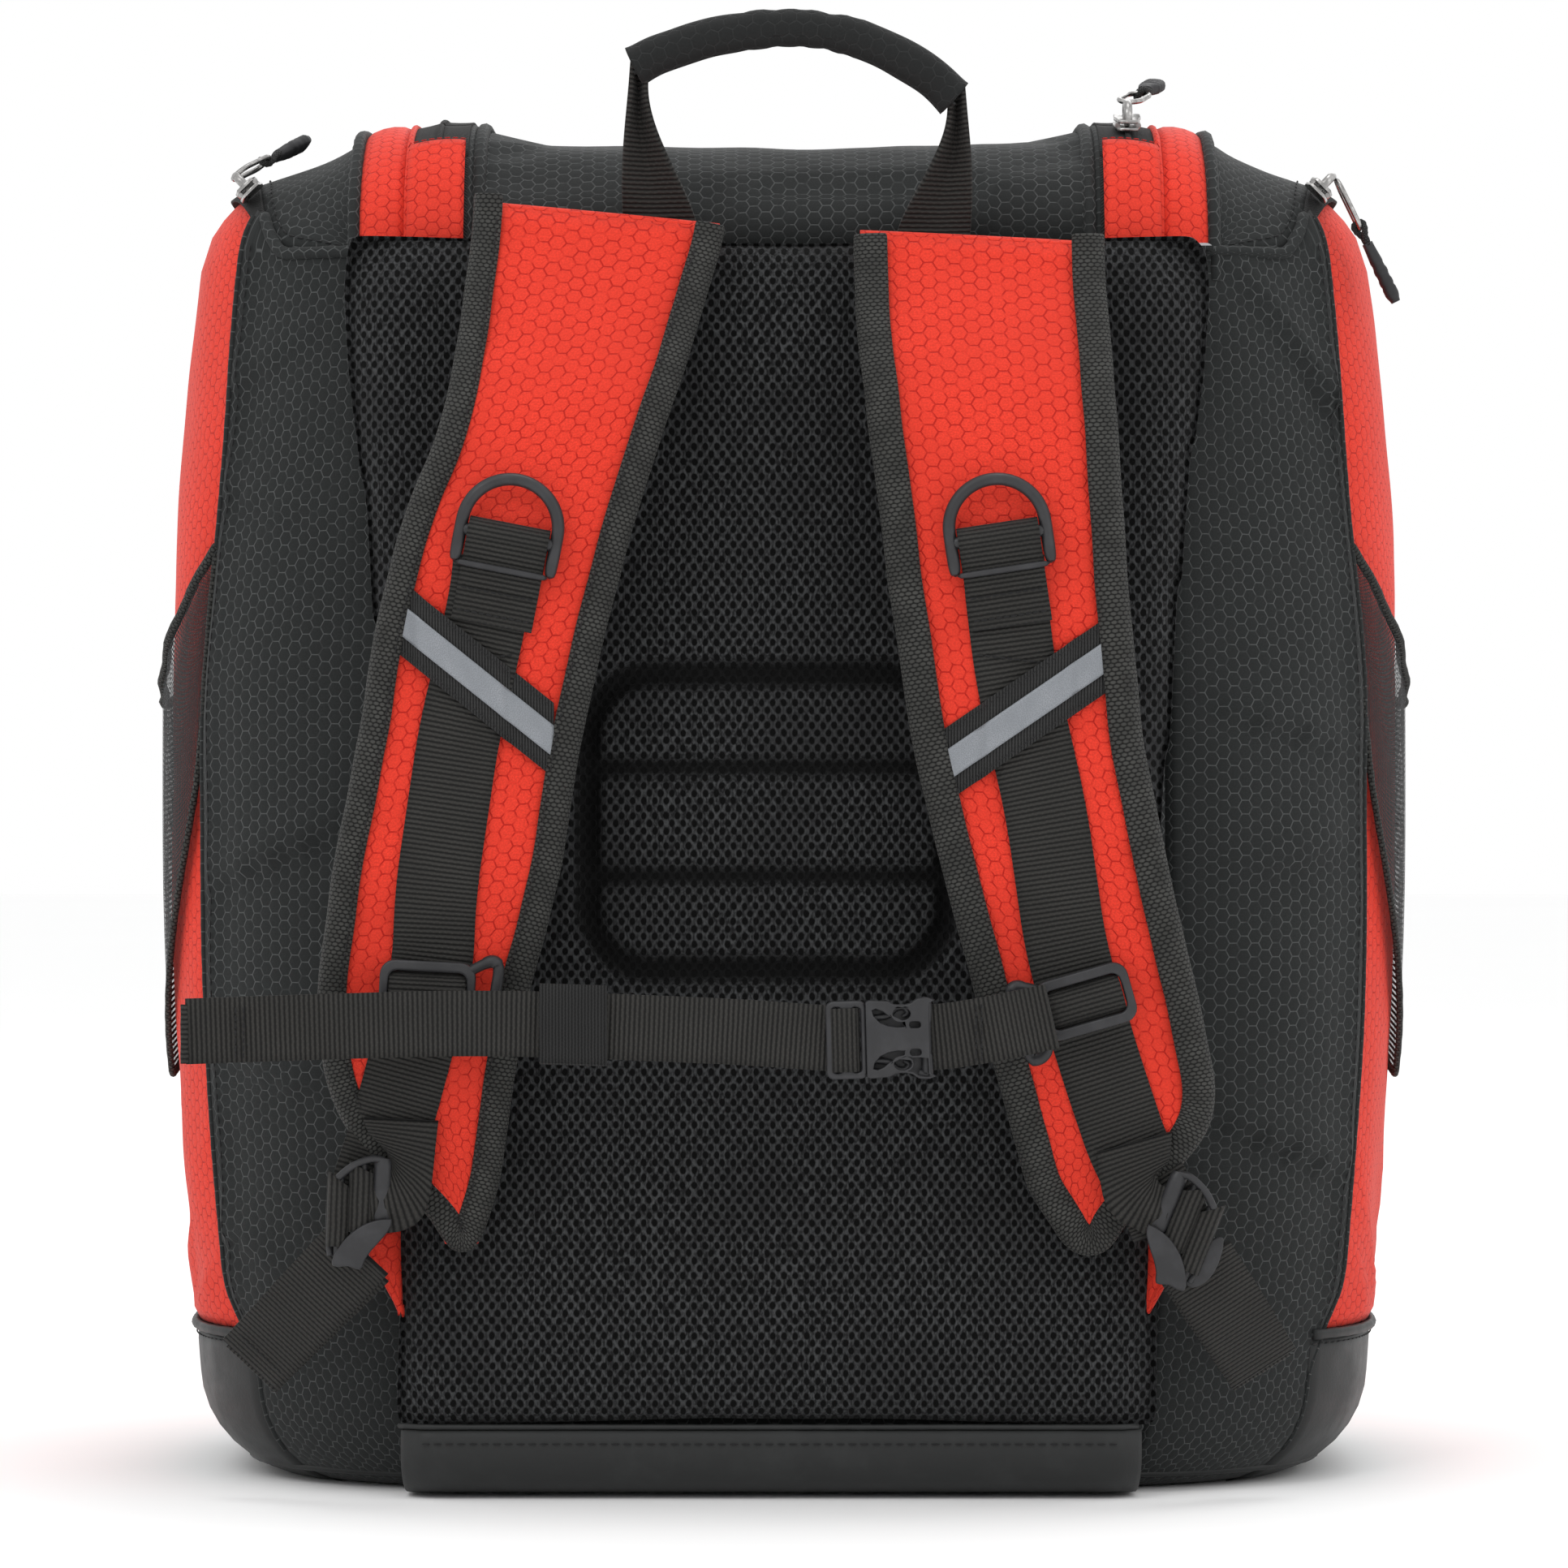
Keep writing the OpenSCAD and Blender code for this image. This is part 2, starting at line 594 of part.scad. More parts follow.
side_pull_right();
haul_webbing();
haul_grip();
shoulder_strap(strap_left);  // shoulder_strap_left
shoulder_strap(strap_right);  // shoulder_strap_right
strap_webbing(web_left);  // strap_webbing_left
strap_webbing(web_right);  // strap_webbing_right
reflective_strip([-116, 262], [-71, 226]);  // reflective_strip_left
reflective_strip([48, 217], [98, 251]);  // reflective_strip_right
d_ring(0);  // d_ring_left
d_ring(1);  // d_ring_right
sternum_ring(0);  // sternum_ring_left
sternum_ring(1);  // sternum_ring_right
sternum_webbing(sternum_tail_x, plug_x[0] + 4);  // sternum_webbing_left
sternum_webbing(socket_x[1] + 0.3, hook_x + 0.3);  // sternum_webbing_right
elastic_keeper();
buckle_socket();
buckle_plug();
ladder_lock(0);  // ladder_lock_left
ladder_lock(1);  // ladder_lock_right
lower_webbing(0);  // lower_webbing_left
lower_webbing(1);  // lower_webbing_right
anchor_tab(-1);  // anchor_tab_left
anchor_tab(1);  // anchor_tab_right
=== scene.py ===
"""Ski boot bag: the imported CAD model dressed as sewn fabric, webbing and moulded hardware."""
import json
import math

import bpy
from mathutils import Matrix, Vector, noise

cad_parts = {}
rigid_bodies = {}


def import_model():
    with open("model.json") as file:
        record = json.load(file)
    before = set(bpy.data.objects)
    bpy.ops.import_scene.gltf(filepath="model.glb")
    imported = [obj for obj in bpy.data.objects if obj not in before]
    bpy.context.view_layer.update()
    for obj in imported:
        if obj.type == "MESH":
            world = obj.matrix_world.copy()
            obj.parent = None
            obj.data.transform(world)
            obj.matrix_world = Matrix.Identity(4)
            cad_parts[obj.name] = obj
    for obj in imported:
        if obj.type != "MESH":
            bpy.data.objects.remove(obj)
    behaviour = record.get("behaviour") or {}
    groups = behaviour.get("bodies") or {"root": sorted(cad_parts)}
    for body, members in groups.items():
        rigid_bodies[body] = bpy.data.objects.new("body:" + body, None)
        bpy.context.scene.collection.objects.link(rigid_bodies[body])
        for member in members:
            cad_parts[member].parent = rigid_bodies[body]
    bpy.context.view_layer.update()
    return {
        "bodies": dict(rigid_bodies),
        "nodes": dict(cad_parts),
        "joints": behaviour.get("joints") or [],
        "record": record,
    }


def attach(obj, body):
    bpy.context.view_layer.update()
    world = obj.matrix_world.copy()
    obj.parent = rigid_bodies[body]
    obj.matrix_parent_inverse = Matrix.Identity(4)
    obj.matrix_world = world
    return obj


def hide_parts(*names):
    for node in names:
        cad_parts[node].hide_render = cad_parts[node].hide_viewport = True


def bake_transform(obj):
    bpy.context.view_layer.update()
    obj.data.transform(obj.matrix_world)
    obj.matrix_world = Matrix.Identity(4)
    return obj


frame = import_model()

MM = 0.001

# ---------------------------------------------------------------- skin of the bag, in millimetres
BODY_W = 398
DEPTH_BACK = 134
DEPTH_FRONT = 150
WALL_H = 392
DOME_RISE = 48
BOTTOM_R = 30
BASE_H = 48
BACK_EDGE = -62
DOOR_REAR = -24
DOOR_FRONT = 33
LID_HALF = 100
ZIP_MID = 109.6
BAND_IN = 119.4
GUSSET_IN = 135.4
LID_HINGE_Y = -112


def ease(v):
    c = min(1.0, max(0.0, v))
    return c * c * (3 - 2 * c)


def edge_round(z, r):
    return 0.0 if z >= r else r - math.sqrt(max(0.0, r * r - (r - z) ** 2))


def side_scale(z):
    return 1 - 0.06 * ((200 - z) / 200) ** 2 if z < 200 else 1 - 0.035 * ((z - 200) / 192) ** 4


def half_w(z):
    return BODY_W / 2 * side_scale(z) - edge_round(z, BOTTOM_R)


def back_d(z):
    return DEPTH_BACK - edge_round(z, BOTTOM_R * 0.7)


def front_d(z):
    return DEPTH_FRONT * side_scale(z) - edge_round(z, BOTTOM_R)


def signed_pow(v, p):
    return math.copysign(abs(v) ** p, v)


def plan(a, z):
    """Plan outline at height z; angle -90 is the back, 0 the right side, 90 the front."""
    c, s = math.cos(math.radians(a)), math.sin(math.radians(a))
    y = back_d(z) * signed_pow(s, 2 / 3.5) if s < 0 else front_d(z) * signed_pow(s, 2 / 3)
    return half_w(z) * signed_pow(c, 2 / 3), y


def dome(x, y):
    reach, q = (back_d(WALL_H), 3.5) if y < 0 else (front_d(WALL_H), 3)
    g = min(1.0, (abs(x) / half_w(WALL_H)) ** 3 + (abs(y) / reach) ** q)
    return WALL_H + DOME_RISE * (1 - g ** (5 / 3)) ** 0.625


def edge_rho(a):
    return 1 - 0.10 * ease((abs(plan(a, WALL_H)[0]) - 0.4 * BODY_W) / 35)


def skin(a, z, over=0.0):
    """A point of the skin: on the wall at height z, or a share of the way over the shoulder."""
    x, y = plan(a, z)
    if over <= 0:
        return Vector((x, y, z))
    rho = 1 - over * (1 - edge_rho(a))
    return Vector((rho * x, rho * y, dome(rho * x, rho * y)))


def strip_back(x):
    return -back_d(WALL_H) * (1 - (abs(x) / half_w(WALL_H)) ** 3) ** (1 / 3.5)


def strip_front(x):
    return front_d(WALL_H) * (1 - (abs(x) / half_w(WALL_H)) ** 3) ** (1 / 3)


def on_dome(x, y):
    return Vector((x, y, dome(x, y)))


def lerp(a, b, t):
    return a + (b - a) * t


def spread(a, b, n):
    return [lerp(a, b, i / n) for i in range(n + 1)]


def mirrored(p):
    return Vector((-p.x, p.y, p.z))


# ---------------------------------------------------------------- meshes
def mesh_object(name, verts, faces, mat, uvs=None, smooth=True):
    """A mesh object from points in millimetres; uvs is one (u, v) in millimetres for each point."""
    me = bpy.data.meshes.new(name)
    me.from_pydata([tuple(Vector(p) * MM) for p in verts], [], faces)
    if uvs:
        layer = me.uv_layers.new(name="UVMap")
        for loop in me.loops:
            layer.data[loop.index].uv = uvs[loop.vertex_index]
    me.materials.append(mat)
    me.polygons.foreach_set("use_smooth", [smooth] * len(me.polygons))
    me.update()
    o = bpy.data.objects.new(name, me)
    bpy.context.scene.collection.objects.link(o)
    return o


def arc_uvs(rows):
    """Distances along and across a grid of points, as (u, v) for each point in row order."""
    mid_row = rows[len(rows) // 2]
    mid_col = [r[len(r) // 2] for r in rows]
    us, vs = [0.0], [0.0]
    for p, q in zip(mid_row, mid_row[1:]):
        us.append(us[-1] + (q - p).length)
    for p, q in zip(mid_col, mid_col[1:]):
        vs.append(vs[-1] + (q - p).length)
    return [(u, v) for v in vs for u in us]


def grid_faces(r, c, flip=False):
    out = []
    for i in range(r - 1):
        for j in range(c - 1):
            f = (i * c + j, i * c + j + 1, (i + 1) * c + j + 1, (i + 1) * c + j)
            out.append(f[::-1] if flip else f)
    return out


def sheet_grid(name, rows, mat, flip=False, thick=0.0, uv_shift=(0, 0)):
    """A grid of points as a fabric sheet; thick adds thickness on its inner side, in millimetres."""
    uvs = [(u + uv_shift[0], v + uv_shift[1]) for u, v in arc_uvs(rows)]
    o = mesh_object(name, [p for r in rows for p in r], grid_faces(len(rows), len(rows[0]), flip), mat, uvs)
    if thick:
        m = o.modifiers.new("thickness", "SOLIDIFY")
        m.thickness = thick * MM
        m.offset = -1
        m.use_even_offset = False
    return o


def join_faces(parts):
    """Several (verts, faces) joined into one (verts, faces)."""
    verts, faces = [], []
    for v, f in parts:
        n = len(verts)
        verts += v
        faces += [tuple(i + n for i in face) for face in f]
    return verts, faces


def frames_along(path, up=Vector((0, 0, 1)), closed=False):
    """Tangent, side and lift directions at each point of a path, turned as little as possible."""
    n = len(path)
    out = []
    side = None
    for i in range(n):
        a = path[i - 1] if i or closed else path[i]
        b = path[(i + 1) % n] if i < n - 1 or closed else path[i]
        t = (b - a).normalized()
        if side is None:
            side = t.cross(up)
            side = side.normalized() if side.length > 1e-6 else t.orthogonal().normalized()
        else:
            side = (side - t * side.dot(t)).normalized()
        out.append((t, side, side.cross(t)))
    return out


def tube(path, radius, sides=10, closed=False, up=Vector((0, 0, 1))):
    """(verts, faces) of a round tube; radius is a number or one for each point."""
    n = len(path)
    radii = radius if hasattr(radius, "__len__") else [radius] * n
    verts, faces = [], []
    for p, r, (t, s, l) in zip(path, radii, frames_along(path, up, closed)):
        for k in range(sides):
            w = 2 * math.pi * k / sides
            verts.append(p + (s * math.cos(w) + l * math.sin(w)) * r)
    last = n if closed else n - 1
    for i in range(last):
        for k in range(sides):
            a, b = i * sides, ((i + 1) % n) * sides
            faces.append((a + k, a + (k + 1) % sides, b + (k + 1) % sides, b + k))
    if not closed:
        faces.append(tuple(range(sides))[::-1])
        faces.append(tuple((n - 1) * sides + k for k in range(sides)))
    return verts, faces


def resample(path, step):
    """Points at even distances along a path."""
    out, left = [path[0].copy()], step
    for p, q in zip(path, path[1:]):
        d = (q - p).length
        while d >= left and d > 0:
            p = p + (q - p) * (left / d)
            out.append(p.copy())
            d = (q - p).length
            left = step
        left -= d
    return out


def smooth_curve(points, n):
    """n points on a Catmull-Rom curve through the given ones."""
    pts = [Vector(p) for p in points]
    ext = [pts[0] * 2 - pts[1]] + pts + [pts[-1] * 2 - pts[-2]]
    out = []
    spans = len(pts) - 1
    for i in range(n):
        t = i / (n - 1) * spans
        k = min(int(t), spans - 1)
        t -= k
        p0, p1, p2, p3 = ext[k:k + 4]
        out.append(0.5 * (2 * p1 + (p2 - p0) * t + (2 * p0 - 5 * p1 + 4 * p2 - p3) * t ** 2
                          + (3 * p1 - 3 * p2 + p3 - p0) * t ** 3))
    return out


def table(rows, key, col):
    """Smooth lookup in rows of [key, ...] sorted by key."""
    if key <= rows[0][0]:
        return rows[0][col]
    for a, b in zip(rows, rows[1:]):
        if key <= b[0]:
            t = (key - a[0]) / (b[0] - a[0])
            return lerp(a[col], b[col], t)
    return rows[-1][col]


# ---------------------------------------------------------------- materials
def linear(r, g, b):
    """Linear colour from 0 to 255 display values."""
    return tuple(((c / 255 + 0.055) / 1.055) ** 2.4 if c > 10 else c / 255 / 12.92 for c in (r, g,
            b)) + (1.0,)


class Shader:
    """A Principled material whose nodes are written as expressions."""

    def __init__(self, name, rough=0.8, metallic=0.0, sheen=0.0, sheen_rough=0.5, specular=0.5, coat=0.0):
        self.mat = bpy.data.materials.new(name)
        self.mat.use_nodes = True
        self.tree = self.mat.node_tree
        self.bsdf = self.tree.nodes["Principled BSDF"]
        constants = {
            "Roughness": rough, "Metallic": metallic, "Sheen Weight": sheen,
            "Sheen Roughness": sheen_rough, "Specular IOR Level": specular, "Coat Weight": coat,
        }
        for socket, value in constants.items():
            self.bsdf.inputs[socket].default_value = value

    def node(self, kind, inputs=(), **props):
        n = self.tree.nodes.new(kind)
        for k, v in props.items():
            setattr(n, k, v)
        for socket, value in dict(inputs).items():
            self.feed(n.inputs[socket], value)
        return n

    def feed(self, socket, value):
        if isinstance(value, bpy.types.NodeSocket):
            self.tree.links.new(value, socket)
        else:
            socket.default_value = value

    def math(self, op, a, b=0.0, clamp=False):
        return self.node("ShaderNodeMath", {0: a, 1: b}, operation=op, use_clamp=clamp).outputs[0]

    def step(self, value, lo, hi, to_lo=0.0, to_hi=1.0):
        n = self.node("ShaderNodeMapRange", {0: value, 1: lo, 2: hi, 3: to_lo, 4: to_hi},
                      interpolation_type="SMOOTHSTEP")
        return n.outputs[0]

    def mix(self, t, a, b):
        n = self.node("ShaderNodeMix", data_type="RGBA")
        for socket, value in ((n.inputs[0], t), (n.inputs[6], a), (n.inputs[7], b)):
            self.feed(socket, value)
        return n.outputs[2]

    def plane(self, by_uv=True):
        """(u, v, vector) in millimetres: along the weave, or across the object's X and Z."""
        if by_uv:
            vec = self.node("ShaderNodeUVMap", uv_map="UVMap").outputs[0]
            xyz = self.node("ShaderNodeSeparateXYZ", {0: vec})
            return xyz.outputs[0], xyz.outputs[1], vec
        vec = self.node("ShaderNodeTexCoord").outputs["Object"]
        big = self.node("ShaderNodeVectorMath", {0: vec, 1: (1000, 1000, 1000)},
                operation="MULTIPLY").outputs[0]
        xyz = self.node("ShaderNodeSeparateXYZ", {0: big})
        return xyz.outputs[0], xyz.outputs[2], big

    def noise(self, vec, scale, detail=3.0, rough=0.55):
        return self.node("ShaderNodeTexNoise", {"Vector": vec, "Scale": scale, "Detail": detail,
                                                "Roughness": rough}).outputs[0]

    def wobble(self, u, v, vec, amount, scale):
        """u and v shifted by noise, so that a woven pattern isn't drawn with a ruler."""
        n = self.node("ShaderNodeTexNoise", {"Vector": vec, "Scale": scale, "Detail": 1.0})
        xyz = self.node("ShaderNodeSeparateXYZ", {0: n.outputs[1]})
        out = []
        for base, shift in ((u, xyz.outputs[0]), (v, xyz.outputs[1])):
            out.append(self.math("ADD", base, self.math("MULTIPLY", self.math("SUBTRACT", shift, 0.5),
                    amount)))
        return out

    def centred(self, value, pitch, shift=0.0):
        """Distance to the middle of the repeat that value is in."""
        moved = self.math("ADD", value, shift) if shift else value
        return self.math("SUBTRACT", self.math("FLOORED_MODULO", moved, pitch), pitch / 2)

    def staggered(self, u, v, pu, pv, measure):
        """The smaller of measure(x, y) about the two centres of a staggered lattice."""
        here = measure(self.centred(u, pu), self.centred(v, pv))
        there = measure(self.centred(u, pu, pu / 2), self.centred(v, pv, pv / 2))
        return self.math("MINIMUM", here, there)

    def hex_line(self, u, v, side):
        """Distance from the nearest edge of a honeycomb with flat tops."""
        half = math.sqrt(3) / 2

        def reach(x, y):
            ax, ay = self.math("ABSOLUTE", x), self.math("ABSOLUTE", y)
            slant = self.math("ADD", self.math("MULTIPLY", ax, half), self.math("MULTIPLY", ay, 0.5))
            return self.math("MAXIMUM", ay, slant)
        nearest = self.staggered(u, v, 3 * side, 2 * half * side, reach)
        return self.math("SUBTRACT", half * side, nearest)

    def bump(self, height, distance, strength=1.0, under=None):
        ins = {"Height": height, "Distance": distance * MM, "Strength": strength}
        if under is not None:
            ins["Normal"] = under
        out = self.node("ShaderNodeBump", ins).outputs[0]
        self.feed(self.bsdf.inputs["Normal"], out)
        return out

    def colour(self, value):
        self.feed(self.bsdf.inputs["Base Color"], value)


def scaled(colour, k):
    return tuple(c * k for c in colour[:3]) + (1.0,)


def honeycomb(name, colour, line, rough=0.72, sheen=0.05, gloss=0.14):
    """Ripstop polyester with a fine hexagon grid woven into it; the grid lines also carry painted highlight
    or painted shade.
    """
    s = Shader(name, rough, sheen=sheen, specular=gloss)
    u, v, vec = s.plane()
    u2, v2 = s.wobble(u, v, vec, 0.28, 0.3)
    d = s.hex_line(u2, v2, 2.53)
    worn = s.step(s.noise(vec, 0.30, 2.0), 0.40, 0.66, 0.0, 0.8)
    groove = s.math("MAXIMUM", s.step(d, 0.06, 0.30), worn)
    pillow = s.step(d, 0.1, 1.9)
    grain = s.noise(vec, 1.6, 2.0, 0.7)
    cloud = s.noise(vec, 0.022, 3.0)
    face = s.mix(s.step(cloud, 0.35, 0.7), scaled(colour, 0.90), scaled(colour, 1.06))
    face = s.mix(s.step(grain, 0.3, 0.75), scaled(colour, 0.72), face)
    # The line colour is the woven grid plus light: painted highlight where it is lighter than the face,
    # painted shade where it is darker.
    s.colour(s.mix(groove, line, face))
    fine = s.bump(grain, 0.10, 0.5)
    s.bump(s.math("ADD", groove, s.math("MULTIPLY", pillow, 0.35)), 0.20, 1.0, fine)
    return s.mat


def air_mesh(name):
    """Spacer mesh: rounded holes in a knitted face over dark foam, the holes darkened further as painted
    shade, and painted shade where the quilting presses the face in.
    """
    s = Shader(name, 0.85, sheen=0.04, specular=0.10)
    u, v, vec = s.plane(False)
    u2, v2 = s.wobble(u, v, vec, 0.7, 0.2)

    def oval(x, y):
        xx = s.math("POWER", s.math("ABSOLUTE", s.math("DIVIDE", x, 0.98)), 2.0)
        yy = s.math("POWER", s.math("ABSOLUTE", s.math("DIVIDE", y, 1.30)), 2.0)
        return s.math("SQRT", s.math("ADD", xx, yy))
    d = s.staggered(u2, v2, 3.5, 4.7, oval)
    knit = s.step(d, 0.70, 1.12)
    yarn = s.noise(s.node("ShaderNodeVectorMath", {0: vec, 1: (1.0, 1.0, 0.45)},
            operation="MULTIPLY").outputs[0], 1.3, 2.0, 0.6)
    cloud = s.noise(vec, 0.03, 2.0)
    thread = s.mix(s.step(yarn, 0.3, 0.72), linear(23, 23, 24), linear(66, 67, 68))
    thread = s.mix(s.step(cloud, 0.0, 0.62), linear(40, 40, 41), thread)
    groove_shade = s.node("ShaderNodeAttribute", attribute_name="groove_shade").outputs["Fac"]
    # Holes near black: the dark foam beneath plus painted shade in the holes.
    face = s.mix(knit, linear(4, 4, 4), thread)
    # Painted shade: the face goes near black where the pad's point attribute marks the quilted grooves.
    s.colour(s.mix(groove_shade, face, scaled(linear(10, 10, 10), 1.0)))
    fine = s.bump(yarn, 0.2, 0.6)
    s.bump(knit, 0.5, 0.9, fine)
    return s.mat


def woven(name, colour, pitch, across, relief=0.3, rough=0.7, sheen=0.04):
    """Ribbed webbing: ribs across the tape, each rib broken into twisted yarns, with painted shade between
    them and a painted highlight on their crowns.
    """
    s = Shader(name, rough, sheen=sheen, specular=0.2)
    u, v, vec = s.plane()
    u2, v2 = s.wobble(u, v, vec, 0.25, 0.5)
    rib = s.step(s.math("ABSOLUTE", s.centred(v2, pitch)), 0.08 * pitch, 0.5 * pitch, 1.0, 0.0)

    def yarn(x, y):
        return s.math("ADD", s.math("ABSOLUTE", s.math("DIVIDE", x, across)),
                      s.math("ABSOLUTE", s.math("DIVIDE", y, pitch)))
    knot = s.step(s.staggered(u2, v2, across, 2 * pitch, yarn), 0.15, 0.6, 1.0, 0.62)
    body = s.math("MULTIPLY", rib, knot)
    cloud = s.noise(vec, 0.05, 2.0)
    lit = s.mix(s.step(cloud, 0.3, 0.7), scaled(colour, 0.92), scaled(colour, 1.1))
    # Painted shade and highlight: gaps between ribs and yarns go down to 0.12 of the colour, the crowns up
    # to 1.8 times.
    s.colour(s.mix(body, scaled(colour, 0.12), scaled_mix(s, lit, 1.8)))
    s.bump(body, relief, 1.0)
    return s.mat


def scaled_mix(s, value, k):
    """A colour socket made k times brighter."""
    n = s.node("ShaderNodeVectorMath", {0: value, 1: (k, k, k)}, operation="MULTIPLY")
    return n.outputs[0]


def herringbone(name, colour, pitch=1.1, column=3.2, relief=0.18, rough=0.78):
    """Twill tape: slanted ribs that turn over from column to column, with painted shade between the ribs
    and a painted highlight on them.
    """
    s = Shader(name, rough, sheen=0.04, specular=0.15)
    u, v, vec = s.plane()
    zig = s.math("ABSOLUTE", s.centred(u, 2 * column))
    slant = s.math("ADD", v, zig)
    rib = s.step(s.math("ABSOLUTE", s.centred(slant, pitch)), 0.05 * pitch, 0.48 * pitch, 1.0, 0.0)
    grain = s.noise(vec, 0.9, 2.0)
    lit = s.mix(s.step(grain, 0.3, 0.7), scaled(colour, 0.85), scaled(colour, 1.15))
    # Painted shade and highlight: gaps between ribs go down to 0.25 of the colour, the ribs up to 1.35
    # times their lit tone.
    s.colour(s.mix(rib, scaled(colour, 0.25), scaled_mix(s, lit, 1.2)))
    s.bump(rib, relief, 0.9)
    return s.mat


def canvas_tape(name, colour, pu=2.0, pv=1.3, relief=0.4):
    """Coarse plain weave of the binding tape: short yarns in staggered rows, with painted shade between the
    yarns and a painted highlight on them.
    """
    s = Shader(name, 0.75, sheen=0.04, specular=0.2)
    u, v, vec = s.plane()
    u2, v2 = s.wobble(u, v, vec, 0.3, 0.45)

    def yarn(x, y):
        xx = s.math("POWER", s.math("DIVIDE", x, pu / 2), 2.0)
        yy = s.math("POWER", s.math("DIVIDE", y, pv / 2), 2.0)
        return s.math("ADD", s.math("ABSOLUTE", xx), s.math("ABSOLUTE", yy))
    knot = s.step(s.staggered(u2, v2, pu, 2 * pv, yarn), 0.25, 1.3, 1.0, 0.0)
    grain = s.noise(vec, 0.12, 3.0)
    lit = s.mix(s.step(grain, 0.3, 0.7), scaled(colour, 0.85), scaled(colour, 1.35))
    # Painted shade and highlight: gaps between yarns go down to 0.10 of the colour, the yarns up to 1.35
    # times.
    s.colour(s.mix(knot, scaled(colour, 0.10), scaled_mix(s, lit, 1.35)))
    s.bump(knot, relief, 0.9)
    return s.mat


def coated(name, colour):
    """Smooth coated base cloth: a faint pebble, scuffs and a satin shine."""
    s = Shader(name, 0.5, specular=0.28)
    u, v, vec = s.plane(False)
    pebble = s.noise(vec, 0.9, 3.0, 0.65)
    scuff = s.noise(vec, 0.045, 4.0, 0.7)
    s.colour(s.mix(s.step(scuff, 0.45, 0.75), colour, scaled(colour, 1.45)))
    s.feed(s.bsdf.inputs["Roughness"], s.step(scuff, 0.3, 0.8, 0.42, 0.62))
    s.bump(pebble, 0.12, 0.6)
    return s.mat


def moulded_plastic(name, colour, rough=0.42):
    """Moulded acetal: fine spark-eroded grain, a little rubbed on its crowns."""
    s = Shader(name, rough, specular=0.4)
    u, v, vec = s.plane(False)
    grain = s.noise(vec, 2.6, 2.0, 0.6)
    rubbed = s.noise(vec, 0.12, 3.0, 0.6)
    s.colour(s.mix(s.step(rubbed, 0.4, 0.75), colour, scaled(colour, 1.5)))
    s.feed(s.bsdf.inputs["Roughness"], s.step(rubbed, 0.35, 0.75, rough + 0.08, rough - 0.06))
    s.bump(grain, 0.05, 0.6)
    return s.mat


def metal(name, colour, rough=0.22):
    """Plated zinc: polished, with small casting ripples and tarnish."""
    s = Shader(name, rough, metallic=1.0)
    u, v, vec = s.plane(False)
    ripple = s.noise(vec, 0.6, 2.0)
    tarnish = s.noise(vec, 0.35, 3.0, 0.6)
    s.colour(s.mix(s.step(tarnish, 0.4, 0.7), scaled(colour, 0.55), colour))
    s.feed(s.bsdf.inputs["Roughness"], s.step(tarnish, 0.35, 0.7, rough + 0.14, rough))
    s.bump(ripple, 0.06, 0.5)
    return s.mat


def reflective_tape(name):
    """Retro-reflective tape: grey, pearly, with fine glass-bead grain."""
    s = Shader(name, 0.48, metallic=0.35, specular=0.6)
    u, v, vec = s.plane()
    bead = s.noise(vec, 3.2, 1.0)
    cloud = s.noise(vec, 0.07, 3.0)
    shade = s.mix(s.step(cloud, 0.3, 0.7), linear(128, 132, 137), linear(146, 149, 154))
    s.colour(s.mix(s.step(bead, 0.35, 0.65), scaled(linear(120, 124, 129), 0.9), shade))
    s.bump(bead, 0.04, 0.5)
    return s.mat


def plain_lining(name, colour):
    """Plain woven lining with a soft crumple."""
    s = Shader(name, 0.7, sheen=0.1, specular=0.3)
    u, v, vec = s.plane(False)
    weave = s.noise(vec, 1.2, 2.0, 0.7)
    cloud = s.noise(vec, 0.02, 3.0)
    s.colour(s.mix(s.step(cloud, 0.3, 0.7), scaled(colour, 0.85), scaled(colour, 1.1)))
    s.bump(weave, 0.12, 0.5)
    return s.mat


def pocket_net(name):
    """Knitted pocket mesh: a fine square grid with open holes."""
    s = Shader(name, 0.7, sheen=0.03, specular=0.2)
    u, v, vec = s.plane()
    u2, v2 = s.wobble(u, v, vec, 0.25, 0.4)
    pitch = 1.9
    cu, cv = s.math("ABSOLUTE", s.centred(u2, pitch)), s.math("ABSOLUTE", s.centred(v2, pitch))
    wall = s.math("MAXIMUM", cu, cv)
    thread = s.step(wall, 0.60, 0.76)
    s.colour(s.mix(thread, linear(16, 16, 16), linear(48, 50, 51)))
    s.feed(s.bsdf.inputs["Alpha"], s.step(wall, 0.56, 0.70, 0.05, 1.0))
    s.bump(thread, 0.2, 0.8)
    return s.mat


def thread_finish(name, colour):
    """Sewing thread: dull, with a fine twist."""
    s = Shader(name, 0.65, sheen=0.05, specular=0.2)
    u, v, vec = s.plane(False)
    twist = s.noise(vec, 2.5, 1.0)
    s.colour(s.mix(s.step(twist, 0.3, 0.7), scaled(colour, 0.6), colour))
    return s.mat


BLACK = linear(39, 41, 41)
RED = linear(230, 60, 42)
